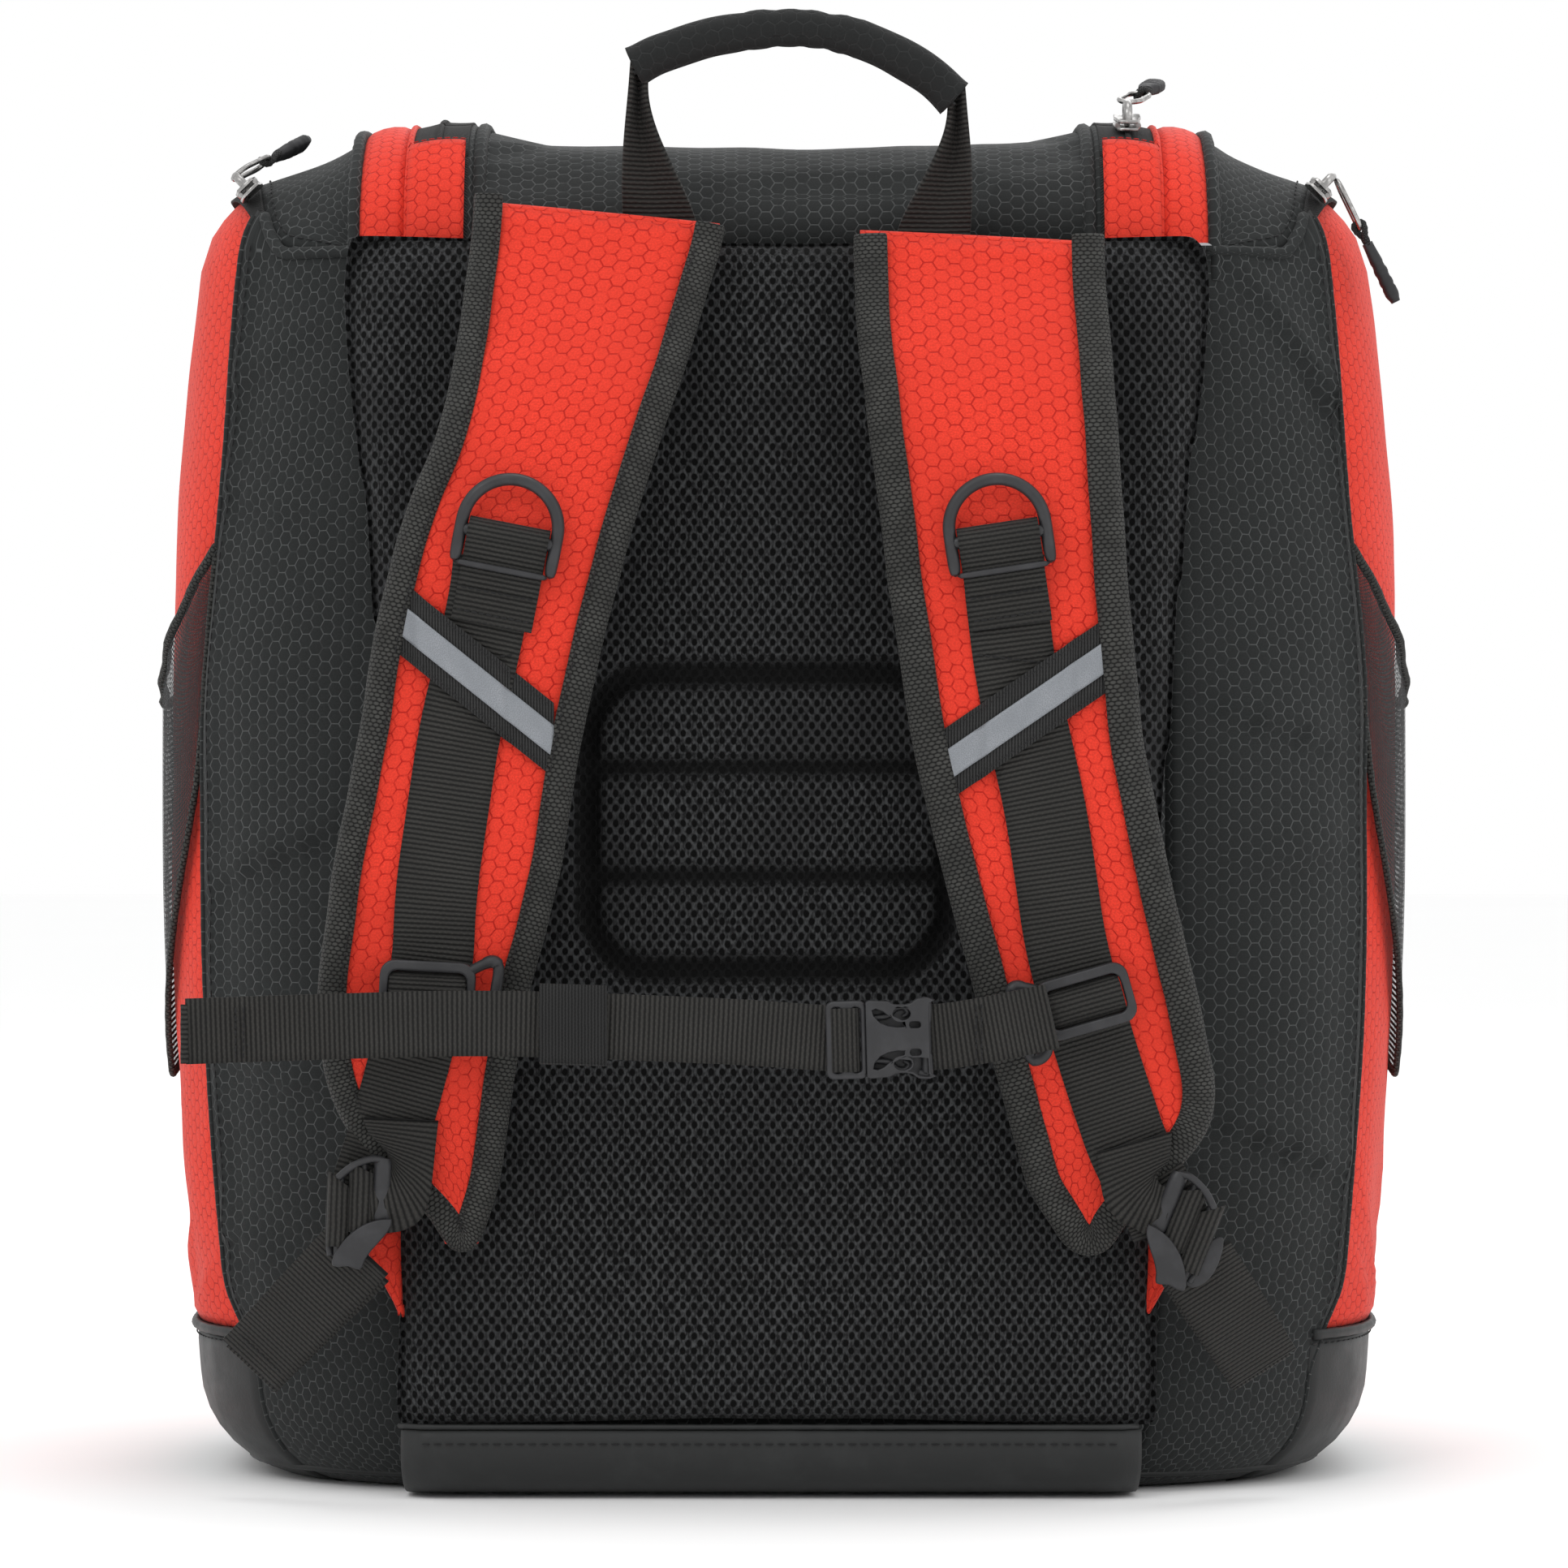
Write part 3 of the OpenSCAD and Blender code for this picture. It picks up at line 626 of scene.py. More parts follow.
# Grid line colours: the woven grid, lighter on black as painted highlight, darker on red as painted shade.
M_BLACK = honeycomb("black_honeycomb", BLACK, linear(78, 80, 80))
M_GRIP = honeycomb("black_honeycomb_worn", linear(34, 35, 35), linear(43, 44, 44))
M_RED = honeycomb("red_honeycomb", RED, linear(178, 26, 18), rough=0.66)
M_MESH = air_mesh("air_mesh")
M_WEB = woven("webbing", linear(44, 43, 41), 1.5, 1.9, relief=0.5)
M_GROS = woven("grosgrain", linear(44, 44, 44), 1.15, 1.2, relief=0.3)
M_ELASTIC = woven("elastic", linear(34, 34, 34), 1.0, 1.1, relief=0.2)
M_BIND = canvas_tape("binding_weave", linear(48, 48, 46))
M_ZIP = herringbone("zip_tape_twill", linear(42, 42, 42))
M_BASE = coated("coated_base", linear(36, 37, 37))
M_PLASTIC = moulded_plastic("strap_plastic", linear(38, 38, 40))
M_TIP = moulded_plastic("pull_rubber", linear(36, 36, 38), 0.55)
M_NICKEL = metal("nickel", (0.50, 0.49, 0.48, 1))
M_REFLECT = reflective_tape("reflective_tape")
M_LINING = plain_lining("lining_cloth", linear(150, 152, 155))
M_BOARD = plain_lining("board_plastic", linear(58, 59, 60))
M_NET = pocket_net("pocket_net")
M_THREAD = thread_finish("thread_black", linear(34, 34, 35))
M_THREAD_RED = thread_finish("thread_red", linear(170, 32, 24))
M_CORD = canvas_tape("pull_cord", linear(42, 42, 42), 1.0, 0.7, 0.2)


# ---------------------------------------------------------------- building helpers for sewn pieces
def place(o, body, slot_name, *nodes):
    """Rides the piece on its body and hides the CAD nodes it stands for; slot_name is not used."""
    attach(o, body)
    if nodes:
        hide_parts(*nodes)
    return o


def even_angles(a0, a1, step):
    """Plan angles from a0 to a1 at even distances along the wall."""
    fine = spread(a0, a1, 2400)
    pts = [plan(a, 200) for a in fine]
    run = [0.0]
    for p, q in zip(pts, pts[1:]):
        run.append(run[-1] + math.dist(p, q))
    n = max(2, round(run[-1] / step))
    out, k = [], 0
    for i in range(n + 1):
        goal = run[-1] * i / n
        while k < len(run) - 2 and run[k + 1] < goal:
            k += 1
        f = min(1.0, (goal - run[k]) / max(1e-9, run[k + 1] - run[k]))
        out.append(lerp(fine[k], fine[k + 1], f))
    return out


def lifted(rows, lift):
    """The rows moved out along their own normals by lift(u, v, p) millimetres; u and v run 0 to 1."""
    r, c = len(rows), len(rows[0])
    out = []
    for i in range(r):
        line = []
        for j in range(c):
            du = rows[i][min(j + 1, c - 1)] - rows[i][max(j - 1, 0)]
            dv = rows[min(i + 1, r - 1)][j] - rows[max(i - 1, 0)][j]
            n = du.cross(dv)
            n = n.normalized() if n.length > 1e-9 else Vector((0, 0, 1))
            line.append(rows[i][j] + n * lift(j / (c - 1), i / (r - 1), rows[i][j]))
        out.append(line)
    return out


def turned(rows, side):
    """The rows as they are on the right, or mirrored on the left."""
    return rows if side > 0 else [[mirrored(p) for p in r] for r in rows]


def bulge(u, v, power=0.5):
    return (max(0.0, math.sin(math.pi * u)) * max(0.0, math.sin(math.pi * v))) ** power


def ripple(p, size, seed):
    """Soft noise from -1 to 1 at that size in millimetres."""
    return noise.noise(Vector(p) / size + Vector((seed * 7.3, seed * 3.1, seed * 5.7)))


def crease(p, a, b, width, depth):
    """A soft fold along the line from a to b: a ridge beside a valley, fading at its ends."""
    a, b = Vector(a), Vector(b)
    d = b - a
    t = (p - a).dot(d) / d.length_squared
    if t < -0.1 or t > 1.1:
        return 0.0
    off = (p - a) - d * t
    away = Vector((off.x, off.y, off.z)).length
    side = 1 if off.z > 0 else -1
    fade = max(0.0, math.sin(math.pi * min(1.0, max(0.0, (t + 0.1) / 1.2))))
    x = side * away / width
    return depth * fade * (math.exp(-(x - 0.9) ** 2) - 0.8 * math.exp(-(x + 0.6) ** 2 * 1.6))


CLOTH = []


def slacken(o, slack, pressure, cap, gravity=0.0, edge=1, stiff=12.0):
    """Marks a grid or closed piece for the cloth run: its border stays put, the rest takes up the slack."""
    CLOTH.append((o, slack, pressure, cap * MM, gravity, edge, stiff))
    return o


def border_points(me, rings):
    """Indices of the points within that many edges of an open border."""
    count = {}
    for p in me.polygons:
        for k in p.edge_keys:
            count[k] = count.get(k, 0) + 1
    found = {i for k, n in count.items() if n == 1 for i in k}
    for _ in range(rings - 1):
        found |= {i for e in me.edges for i in e.vertices if set(e.vertices) & found}
    return found


def run_cloth(frames=18):
    """One cloth run for all marked pieces; each keeps its own result, capped in how far it moves."""
    if not CLOTH:
        CLOTH.clear()
        return
    scene = bpy.context.scene
    held = []
    for o, slack, pressure, cap, gravity, edge, stiff in CLOTH:
        kept = [(m.name, m.type) for m in o.modifiers]
        for m in o.modifiers:
            m.show_viewport = False
        if edge:
            group = o.vertex_groups.new(name="pin")
            group.add(sorted(border_points(o.data, edge)), 1.0, "REPLACE")
        c = o.modifiers.new("cloth", "CLOTH")
        s = c.settings
        s.quality = 6
        s.mass = 0.12
        s.tension_stiffness = s.compression_stiffness = stiff
        s.shear_stiffness = stiff / 3
        s.bending_stiffness = 0.35
        s.shrink_min = -slack
        s.shrink_max = -slack
        s.use_pressure = True
        s.uniform_pressure_force = pressure
        s.effector_weights.gravity = gravity
        if edge:
            s.vertex_group_mass = "pin"
        c.point_cache.frame_start = 1
        c.point_cache.frame_end = frames
        held.append((o, c, cap, kept))
    for f in range(1, frames + 1):
        scene.frame_set(f)
    deps = bpy.context.evaluated_depsgraph_get()
    for o, c, cap, kept in held:
        moved = o.evaluated_get(deps).data
        for v, w in zip(o.data.vertices, moved.vertices):
            d = w.co - v.co
            if d.length > cap:
                d = d * (cap / d.length)
            v.co = v.co + d
        o.modifiers.remove(c)
        for m in o.modifiers:
            m.show_viewport = True
        o.data.update()
    scene.frame_set(1)
    CLOTH.clear()


def stitches(name, lines, mat, body, slot_name, length=2.6, gap=1.1, r=0.28):
    """Rows of sewn stitches: short rounded threads lying along each line of points."""
    parts = []
    for line in lines:
        pts = resample(line, (length + gap) / 2)
        for a, b in zip(pts[::2], pts[1::2]):
            mid = (a + b) / 2
            d = (b - a).normalized() * length / 2
            path = [mid - d, mid - d * 0.5, mid + d * 0.5, mid + d]
            parts.append(tube(path, [r * 0.35, r, r, r * 0.35], 5))
    v, f = join_faces(parts)
    return place(mesh_object(name, v, f, mat), body, slot_name)


def piping(name, path, radius, mat, body, slot_name, closed=False, sides=9, *nodes):
    """A covered cord sewn into a seam, with tiny gathers along it."""
    pts = resample(path, 3.0)
    radii = [radius * (1 + 0.05 * math.sin(i * 2.1) + 0.04 * ripple(p, 9, 4)) for i, p in enumerate(pts)]
    v, f = tube(pts, radii, sides, closed)
    uvs = [(2 * math.pi * radius * (k / sides), i * 3.0) for i in range(len(pts)) for k in range(sides)]
    return place(mesh_object(name, v, f, mat, uvs), body, slot_name, *nodes)


def moulded(name, outlines, thick, bevel, mat, to_world):
    """A moulded plate with rounded edges from closed outlines, the first outside and the others holes."""
    cu = bpy.data.curves.new(name, "CURVE")
    cu.dimensions = "2D"
    cu.fill_mode = "BOTH"
    cu.extrude = (thick / 2 - bevel)
    cu.bevel_depth = bevel
    cu.bevel_resolution = 3
    cu.offset = -bevel
    for line in outlines:
        sp = cu.splines.new("POLY")
        sp.points.add(len(line) - 1)
        for pt, (x, y) in zip(sp.points, line):
            pt.co = (x, y, 0, 1)
        sp.use_cyclic_u = True
    shell = bpy.data.objects.new(name + "_outline", cu)
    bpy.context.scene.collection.objects.link(shell)
    bpy.context.view_layer.update()
    me = bpy.data.meshes.new_from_object(shell.evaluated_get(bpy.context.evaluated_depsgraph_get()))
    verts = [to_world(v.co) for v in me.vertices]
    faces = [tuple(p.vertices) for p in me.polygons]
    bpy.data.objects.remove(shell)
    bpy.data.meshes.remove(me)
    bpy.data.curves.remove(cu)
    return verts, faces


def rounded_rect(w, h, r, cx=0.0, cy=0.0, n=6):
    out = []
    for sx, sy, a0 in ((1, 1, 0), (-1, 1, 90), (-1, -1, 180), (1, -1, 270)):
        for k in range(n + 1):
            a = math.radians(a0 + 90 * k / n)
            out.append((cx + sx * (w / 2 - r) + r * math.cos(a), cy + sy * (h / 2 - r) + r * math.sin(a)))
    return out


def welded(name, parts, mat, smooth_angle=40):
    """One object from several (verts, faces), merged where they touch and shaded smooth by angle."""
    v, f = join_faces(parts)
    o = mesh_object(name, v, f, mat)
    m = o.modifiers.new("weld", "WELD")
    m.merge_threshold = 0.02 * MM
    o.data.set_sharp_from_angle(angle=math.radians(smooth_angle))
    return o


def facing(x, y, z, turn=0.0):
    """Maps a point of a fitting drawn flat, its front towards +Z, to where it stands facing the wearer."""
    c, s = math.cos(math.radians(turn)), math.sin(math.radians(turn))

    def to_world(p):
        px, py, pz = p[0], -p[2], p[1]
        return Vector((x + c * px - s * pz, y + py, z + s * px + c * pz))
    return to_world


# ---------------------------------------------------------------- shell of the bag
SHELL_T = 1.6
SIDES = (-1, 1)


def tag(side):
    return "right" if side > 0 else "left"


def shell_sheet(name, rows, mat, flip, inner=None):
    """A sewn panel: the face fabric outside, its own lining inside."""
    o = sheet_grid(name, rows, mat, flip, thick=SHELL_T)
    o.data.materials.append(inner or M_LINING)
    o.modifiers["thickness"].material_offset = 1
    return o


def edge_fade(u, v, wide=0.08):
    return ease(min(u, 1 - u) / wide) * ease(min(v, 1 - v) / wide)


WALL_ROWS = [0.4, 1.5, 3.5, 6.5, 11, 16, 22, 28] + spread(34, WALL_H, 84)
OVER_ROWS = (0.2, 0.4, 0.6, 0.8, 1.0)
BLACK_CREASES = {
    1: [((135, -110, 388), (181, -84, 329), 6, 4.2), ((150, -100, 380), (186, -70, 352), 5, 2.4),
        ((128, -118, 250), (176, -92, 232), 7, 2.0), ((130, -118, 118), (180, -88, 96), 7, 2.4),
        ((136, -114, 190), (178, -90, 205), 8, 1.6)],
    -1: [((132, -110, 372), (178, -84, 346), 6, 2.6), ((128, -116, 300), (182, -80, 322), 8, 2.2),
         ((130, -118, 210), (180, -86, 190), 8, 2.2), ((134, -114, 120), (176, -90, 136), 7, 2.2),
         ((150, -102, 66), (182, -82, 84), 6, 2.0)],
}


# plan angle of the black panel's hem, which folds over the rear zip of the door
HEM_LINE = [[0, -36], [44, -36], [52, -30.5], [138, -28.5], [251, -28], [292, -31], [313, -32.5], [339,
        -33.5],
            [392, -33.5]]


def hem_angle(z):
    return eased_table(HEM_LINE, z, 1)


def rear_panel(side):
    """Black panel from the pad's side seam round to the door, wrapping under at the bottom."""
    angles = even_angles(BACK_EDGE, DOOR_REAR, 4.4)

    def fitted(a, z):
        """The angle a of the plain grid, moved so that the last column follows the hem."""
        return BACK_EDGE + (a - BACK_EDGE) * (hem_angle(z) + 1.2 - BACK_EDGE) / (DOOR_REAR - BACK_EDGE)
    rows = [[skin(fitted(a, z), z) for a in angles] for z in WALL_ROWS]
    rows += [[skin(fitted(a, WALL_H), WALL_H, w) for a in angles] for w in OVER_ROWS]

    def lift(u, v, p):
        soft = 3.2 * bulge(u, v, 0.6) + edge_fade(u, v) * (1.5 * ripple(p, 62, side + 2) + 0.7 * ripple(p,
                24, side + 5))
        folds = sum(crease(p, a, b, w, d) for a, b, w, d in BLACK_CREASES[side])
        flap = (2.6 + 0.8 * ripple(p, 48, side + 6)) * ease((u - 0.86) / 0.12) * ease((v - 0.12) / 0.05)
        return soft + folds * edge_fade(u, v, 0.05) + flap
    rows = lifted(rows, lift)
    o = shell_sheet("rear_panel_" + tag(side), turned(rows, side), M_BLACK, side < 0)
    slacken(o, 0.012, 0.10, 4.0, 0.6)
    place(o, "root", "black_fabric", "rear_panel_" + tag(side))
    hem = [r[-1] for r in turned(rows, side)]
    piping("rear_panel_hem_" + tag(side), hem[4:], 0.9, M_BLACK, "root", "black_fabric")
    inset = [r[-2] * 0.8 + r[-3] * 0.2 for r in turned(rows, side)][12:-4]
    out = Vector((side * 0.5, -0.6, 0))
    stitches("rear_panel_stitch_" + tag(side), [[p + out for p in inset]], M_THREAD, "root", "black_fabric")


def door_angle(a, z):
    """The angle a of the plain grid, moved so that the door's rear edge follows the hem."""
    share = (a - DOOR_REAR) / (DOOR_FRONT - DOOR_REAR)
    return lerp(hem_angle(z), DOOR_FRONT, share)


def door_bulge(u, v):
    return 3.4 * bulge(u, v, 0.6)


def boot_door(side):
    """Red boot compartment door with its zip tape round three edges."""
    body = tag(side) + "_door"
    angles = even_angles(DOOR_REAR, DOOR_FRONT - 0.35, 4.6)
    rows = [[skin(door_angle(a, z), z) for a in angles] for z in spread(BASE_H + 1.6, WALL_H, 84)]
    rows += [[skin(door_angle(a, WALL_H), WALL_H, w * 0.94) for a in angles] for w in OVER_ROWS]

    def lift(u, v, p):
        low = 1.6 * math.exp(-((v - 0.12) / 0.1) ** 2) * math.sin(u * 14 + side)
        return (door_bulge(u, v) + edge_fade(u, v) * (1.7 * ripple(p, 75, side + 8) + 0.6 * ripple(p, 26,
                side))
                + low * edge_fade(u, v, 0.15) * 0.6)
    rows = lifted(rows, lift)
    o = shell_sheet("boot_door_" + tag(side), turned(rows, side), M_RED, side < 0)
    slacken(o, 0.010, 0.45, 1.2, 0.3)
    place(o, body, "red_fabric", "boot_door_" + tag(side))
    strip = []
    for r in turned(rows, side)[2:]:
        a, b = r[-1], r[-2]
        lift_out = Vector((side * 0.8, 0, 0))
        strip.append([a + lift_out, a.lerp(b, 0.75) + lift_out, a.lerp(b, 1.5) + lift_out])
    t = sheet_grid("door_zip_front_" + tag(side), strip, M_ZIP, side > 0, 0.9)
    place(t, body, "zip_tape")
    for where, coil in (("front", [r[0] for r in strip]), ("rear", [r[0] for r in turned(rows, side)[2:]])):
        piping("door_coil_%s_%s" % (where, tag(side)), coil, 0.85, M_ZIP, body, "zip_tape", False, 7)
    top = turned(rows, side)[-1]
    under = turned(rows, side)[-3]
    strip = [[p + Vector((0, 0, 0.7)), p.lerp(q, 0.9) + Vector((side * 0.5, 0, 0.6))] for p, q in zip(top,
            under)]
    t = sheet_grid("door_zip_top_" + tag(side), strip, M_ZIP, side > 0, 0.9)
    place(t, body, "zip_tape")
    piping("door_coil_top_" + tag(side), [r[0] for r in strip], 0.85, M_ZIP, body, "zip_tape", False, 7)


FRONT_RHO = 0.972


def front_lift(u, v, p):
    return 4.0 * bulge(u, v, 0.6) + edge_fade(u, v) * (2.2 * ripple(p, 85, 3) + 0.7 * ripple(p, 28, 9))


def front_face(a, z, out):
    """A point out millimetres off the front panel's bulging face."""
    p = skin(a, z)
    u, v = (a - DOOR_FRONT) / (180 - 2 * DOOR_FRONT), (z - BASE_H) / (WALL_H - BASE_H)
    return p + Vector((0, front_lift(u, v, p) + out, 0))


def front_panel():
    angles = even_angles(DOOR_FRONT, 180 - DOOR_FRONT, 5.0)
    rows = [[skin(a, z) for a in angles] for z in spread(BASE_H, WALL_H, 76)]
    for w in spread(0.1, 1.0, 7):
        line = []
        for a in angles:
            x, y = plan(a, WALL_H)
            reach = min(edge_rho(a), 1 - (1 - FRONT_RHO) * ease((130 - abs(x)) / 8))
            rho = 1 - w * (1 - reach)
            line.append(on_dome(rho * x, rho * y))
        rows.append(line)
    rows = lifted(rows, front_lift)
    o = shell_sheet("front_panel", rows, M_RED, False)
    slacken(o, 0.008, 0.10, 4.0, 0.5)
    place(o, "root", "red_fabric", "front_panel")
    for side, col in ((1, 0), (-1, -1)):
        seam = [r[col] for r in rows]
        piping("front_seam_" + tag(side), seam, 1.9, M_BLACK, "root", "black_fabric")


POCKET = {"a0": 60, "a1": 120, "z0": 62, "z1": 250}


def front_pocket():
    """Zipped pocket on the front: a gusseted panel under a covered zip."""
    def point(u, v, out):
        a = lerp(POCKET["a0"], POCKET["a1"], u)
        z = lerp(POCKET["z0"], POCKET["z1"], v)
        rise = 10.5 * max(0.0, math.sin(math.pi * lerp(0.02, 0.98, u)) * math.sin(math.pi * lerp(0.02, 0.98,
                v))) ** 0.38
        return front_face(a, z, rise + out)
    rows = [[point(u, v, 1.2) for u in spread(0, 1, 50)] for v in spread(0, 1, 44)]
    rows = lifted(rows, lambda u, v, p: -edge_fade(u, v) * (1.6 * ripple(p, 60, 6) + 0.6 * ripple(p, 22,
            7)))
    o = shell_sheet("front_pocket", rows, M_RED, False)
    place(o, "root", "red_fabric", "front_pocket")
    rim = rows[0] + [r[-1] for r in rows[1:]] + rows[-1][::-1][1:] + [r[0] for r in rows[::-1][1:-1]]
    piping("front_pocket_piping", rim, 1.5, M_BLACK, "root", "black_fabric", True)
    angles = spread(POCKET["a0"] + 2, POCKET["a1"] - 2, 40)
    tape = [[front_face(a, z, 3.2) for a in angles] for z in (251.5, 254, 257)]
    t = sheet_grid("front_pocket_zip_low", tape, M_ZIP, False, 1.0)
    place(t, "root", "zip_tape", "front_pocket_zip")
    tape = [[front_face(a, z, 3.0) for a in angles] for z in (257.2, 260, 264)]
    t = sheet_grid("front_pocket_zip_high", tape, M_ZIP, False, 1.0)
    place(t, "root", "zip_tape")
    piping("front_pocket_coil", [front_face(a, 257.1, 3.6) for a in angles], 1.0, M_ZIP, "root", "zip_tape")
    stitches("front_pocket_stitch", [[front_face(a, 266, 2.6) for a in angles]], M_THREAD_RED,
             "root", "red_fabric")


def base():
    """Coated base: the band round both sides and the front, and the sole."""
    angles = even_angles(-35, 215, 5.5)
    heights = [0.4, 1.5, 3.5, 6.5, 10.5, 15.5, 21, 27] + spread(32, BASE_H, 3)
    rows = [[skin(a, z) for a in angles] for z in heights]
    rows = lifted(rows, lambda u, v, p: 0.5 + 1.1 * bulge(u, v, 0.4) + 0.8 * edge_fade(u, v,
            0.05) * ripple(p, 46, 12))
    o = shell_sheet("base_band", rows, M_BASE, False)
    place(o, "root", "coated_fabric", "base_tray")
    shelf = [[p + Vector((p.x, p.y, 0)).normalized() * d + Vector((0, 0, 0.4)) for p in rows[-1]]
            for d in (0.3, -6.0)]
    place(sheet_grid("base_band_turning", shelf, M_BASE, False, 1.0), "root", "coated_fabric")
    piping("base_band_piping", [p + Vector((p.x, p.y, 0)).normalized() * 0.6 for p in rows[-1]], 1.7,
            M_BASE,
           "root", "coated_fabric")
    stitches("base_band_stitch", [[p.lerp(q, 0.55) + Vector((p.x, p.y, 0)).normalized() * 0.5
                                   for p, q in zip(rows[-1], rows[-2])]], M_THREAD, "root", "coated_fabric")
    ring = even_angles(-90, 270, 7.0)[:-1]
    rim = [skin(a, 0.4) for a in ring]
    verts, faces = [], []
    for k, share in enumerate((1.0, 0.9, 0.72, 0.5, 0.25)):
        verts += [Vector((p.x * share, p.y * share, 0.4 + 0.5 * (k > 0))) for p in rim]
    n = len(ring)
    for k in range(4):
        for i in range(n):
            j = (i + 1) % n
            faces.append((k * n + i, (k + 1) * n + i, (k + 1) * n + j, k * n + j))
    verts.append(Vector((0, 0, 0.9)))
    faces += [(4 * n + i, len(verts) - 1, 4 * n + (i + 1) % n) for i in range(n)]
    sole = mesh_object("base_sole", verts, faces, M_BASE)
    m = sole.modifiers.new("thickness", "SOLIDIFY")
    m.thickness = 1.6 * MM
    m.offset = -1
    place(sole, "root", "coated_fabric")
    low = [skin(a, 5.5) for a in ring]
    piping("base_seam_piping", low, 1.3, M_BASE, "root", "coated_fabric", True)


def back_panel():
    angles = even_angles(-180 - BACK_EDGE, BACK_EDGE, 6.0)
    rows = [[skin(a, z) for a in angles] for z in WALL_ROWS]
    o = shell_sheet("back_panel", rows, M_BLACK, False)
    place(o, "root", "lining", "back_panel")


def top_rows(x0, x1, nx, y0, y1, ny):
    """A strip of the domed top; y0 and y1 give its back and front ends at each x."""
    return [[on_dome(x, lerp(y0(x), y1(x), v)) for x in spread(x0, x1, nx)] for v in spread(0, 1, ny)]


ZIP_END_Y = -84
ZIP_FRONT = 12


def top_gusset(side):
    """Black gusset that slopes from the red band down to the door's top edge."""
    angles = even_angles(BACK_EDGE - 3, 51, 5.0)
    rows = []
    for f in spread(0, 1, 12):
        line = []
        for a in angles:
            e = skin(a, WALL_H, 1.0)
            x = lerp(e.x, GUSSET_IN, f)
            line.append(Vector((x, e.y, e.z if f == 0 else dome(x, e.y))))
        rows.append(line)

    def lift(u, v, p):
        return -4.5 * bulge(u, v, 0.8) + edge_fade(u, v, 0.12) * (1.8 * ripple(p, 40, side + 3)
                + 0.7 * ripple(p, 17, side))
    rows = lifted(rows, lift)
    o = shell_sheet("top_gusset_" + tag(side), turned(rows, side), M_BLACK, side < 0)
    place(o, "root", "black_fabric", "top_gusset_" + tag(side))
    line = [p + Vector((0, 0, 0.5)) for p in turned(rows, side)[1]]
    stitches("top_gusset_stitch_" + tag(side), [line], M_THREAD, "root", "black_fabric")
    corner = turned([[skin(a, WALL_H, 1.0) + Vector((0, -0.8, 0.4)) for a in even_angles(BACK_EDGE - 6, -33,
            3.0)]], side)[0]
    piping("top_corner_seam_" + tag(side), corner, 2.0, M_BLACK, "root", "black_fabric")


def top_band(side):
    """Red band beside the zip, with a black piped seam on its outer edge."""
    rows = top_rows(BAND_IN, GUSSET_IN, 5, strip_back, strip_front, 60)
    rows = lifted(rows, lambda u, v, p: 2.4 * math.sin(math.pi * u) ** 0.6 + 0.5 * ripple(p, 20, side))
    rows.insert(0, [p + Vector((0, -0.8, -10)) for p in rows[0]])
    o = shell_sheet("top_band_" + tag(side), turned(rows, side), M_RED, side < 0, M_RED)
    place(o, "root", "red_fabric", "top_band_" + tag(side))
    outer = [r[-1] + Vector((side * 0.8, 0, 1.0)) for r in turned(rows, side)]
    piping("top_band_piping_" + tag(side), outer, 2.1, M_BLACK, "root", "black_fabric")
    inner = [r[0] + Vector((-side * 0.2, 0, 0.8)) for r in turned(rows, side)]
    piping("top_band_fold_" + tag(side), inner, 1.1, M_RED, "root", "red_fabric")


def zip_tapes():
    """Main zip: a twill tape on the body and one on the lid on each side, joined along their middle."""
    for side in SIDES:
        rows = top_rows(ZIP_MID + 0.15, BAND_IN, 4, strip_back, strip_front, 60)
        rows = lifted(rows, lambda u, v, p: 0.6 + 1.0 * (1 - u) ** 2)
        o = sheet_grid("zip_tape_body_" + tag(side), turned(rows, side), M_ZIP, side < 0, 1.1)
        place(o, "root", "zip_tape", "body_zip_tape")
        piping("zip_coil_body_" + tag(side), [r[0] for r in turned(rows, side)], 0.8, M_ZIP, "root",
                "zip_tape", False, 7)
        for part, y0, y1, body in (("end", LID_HINGE_Y + 0.5, ZIP_END_Y, "root"), ("lid", ZIP_END_Y + 0.5,
                None, "lid_flap")):
            front = (lambda x: strip_front(x) - ZIP_FRONT) if y1 is None else (lambda x: y1)
            rows = top_rows(LID_HALF + 0.3, ZIP_MID - 0.15, 4, lambda x: y0, front, 50 if y1 is None else 8)
            rows = lifted(rows, lambda u, v, p: 0.6 + 1.0 * u ** 2)
            o = sheet_grid("zip_tape_%s_%s" % (part, tag(side)), turned(rows, side), M_ZIP, side < 0, 1.1)
            place(o, body, "zip_tape", *(["lid_zip_tape"] if y1 is None else []))
            edge = [r[-1] for r in turned(rows, side)]
            piping("zip_coil_%s_%s" % (part, tag(side)), edge, 0.8, M_ZIP, body, "zip_tape", False, 7)
        back = top_rows(LID_HALF, ZIP_MID, 4, strip_back, lambda x: LID_HINGE_Y, 6)
        back = lifted(back, lambda u, v, p: 0.7)
        back.insert(0, [p + Vector((0, -0.8, -10)) for p in back[0]])
        o = sheet_grid("zip_tape_tail_" + tag(side), turned(back, side), M_ZIP, side < 0, 1.1)
        place(o, "root", "zip_tape")
    for part, near, far, reach, body in (("lid", 12.4, 7.2, ZIP_MID, "lid_flap"), ("body", 6.8, 2.0,
            BAND_IN, "root")):
        rows = [[on_dome(x, strip_front(x) - lerp(near, far, v)) for x in spread(-reach, reach, 40)]
                for v in spread(0, 1, 6)]
        rows = lifted(rows, lambda u, v, p: 0.8)
        o = sheet_grid("zip_tape_front_" + part, rows, M_ZIP, False, 1.1)
        place(o, body, "zip_tape")


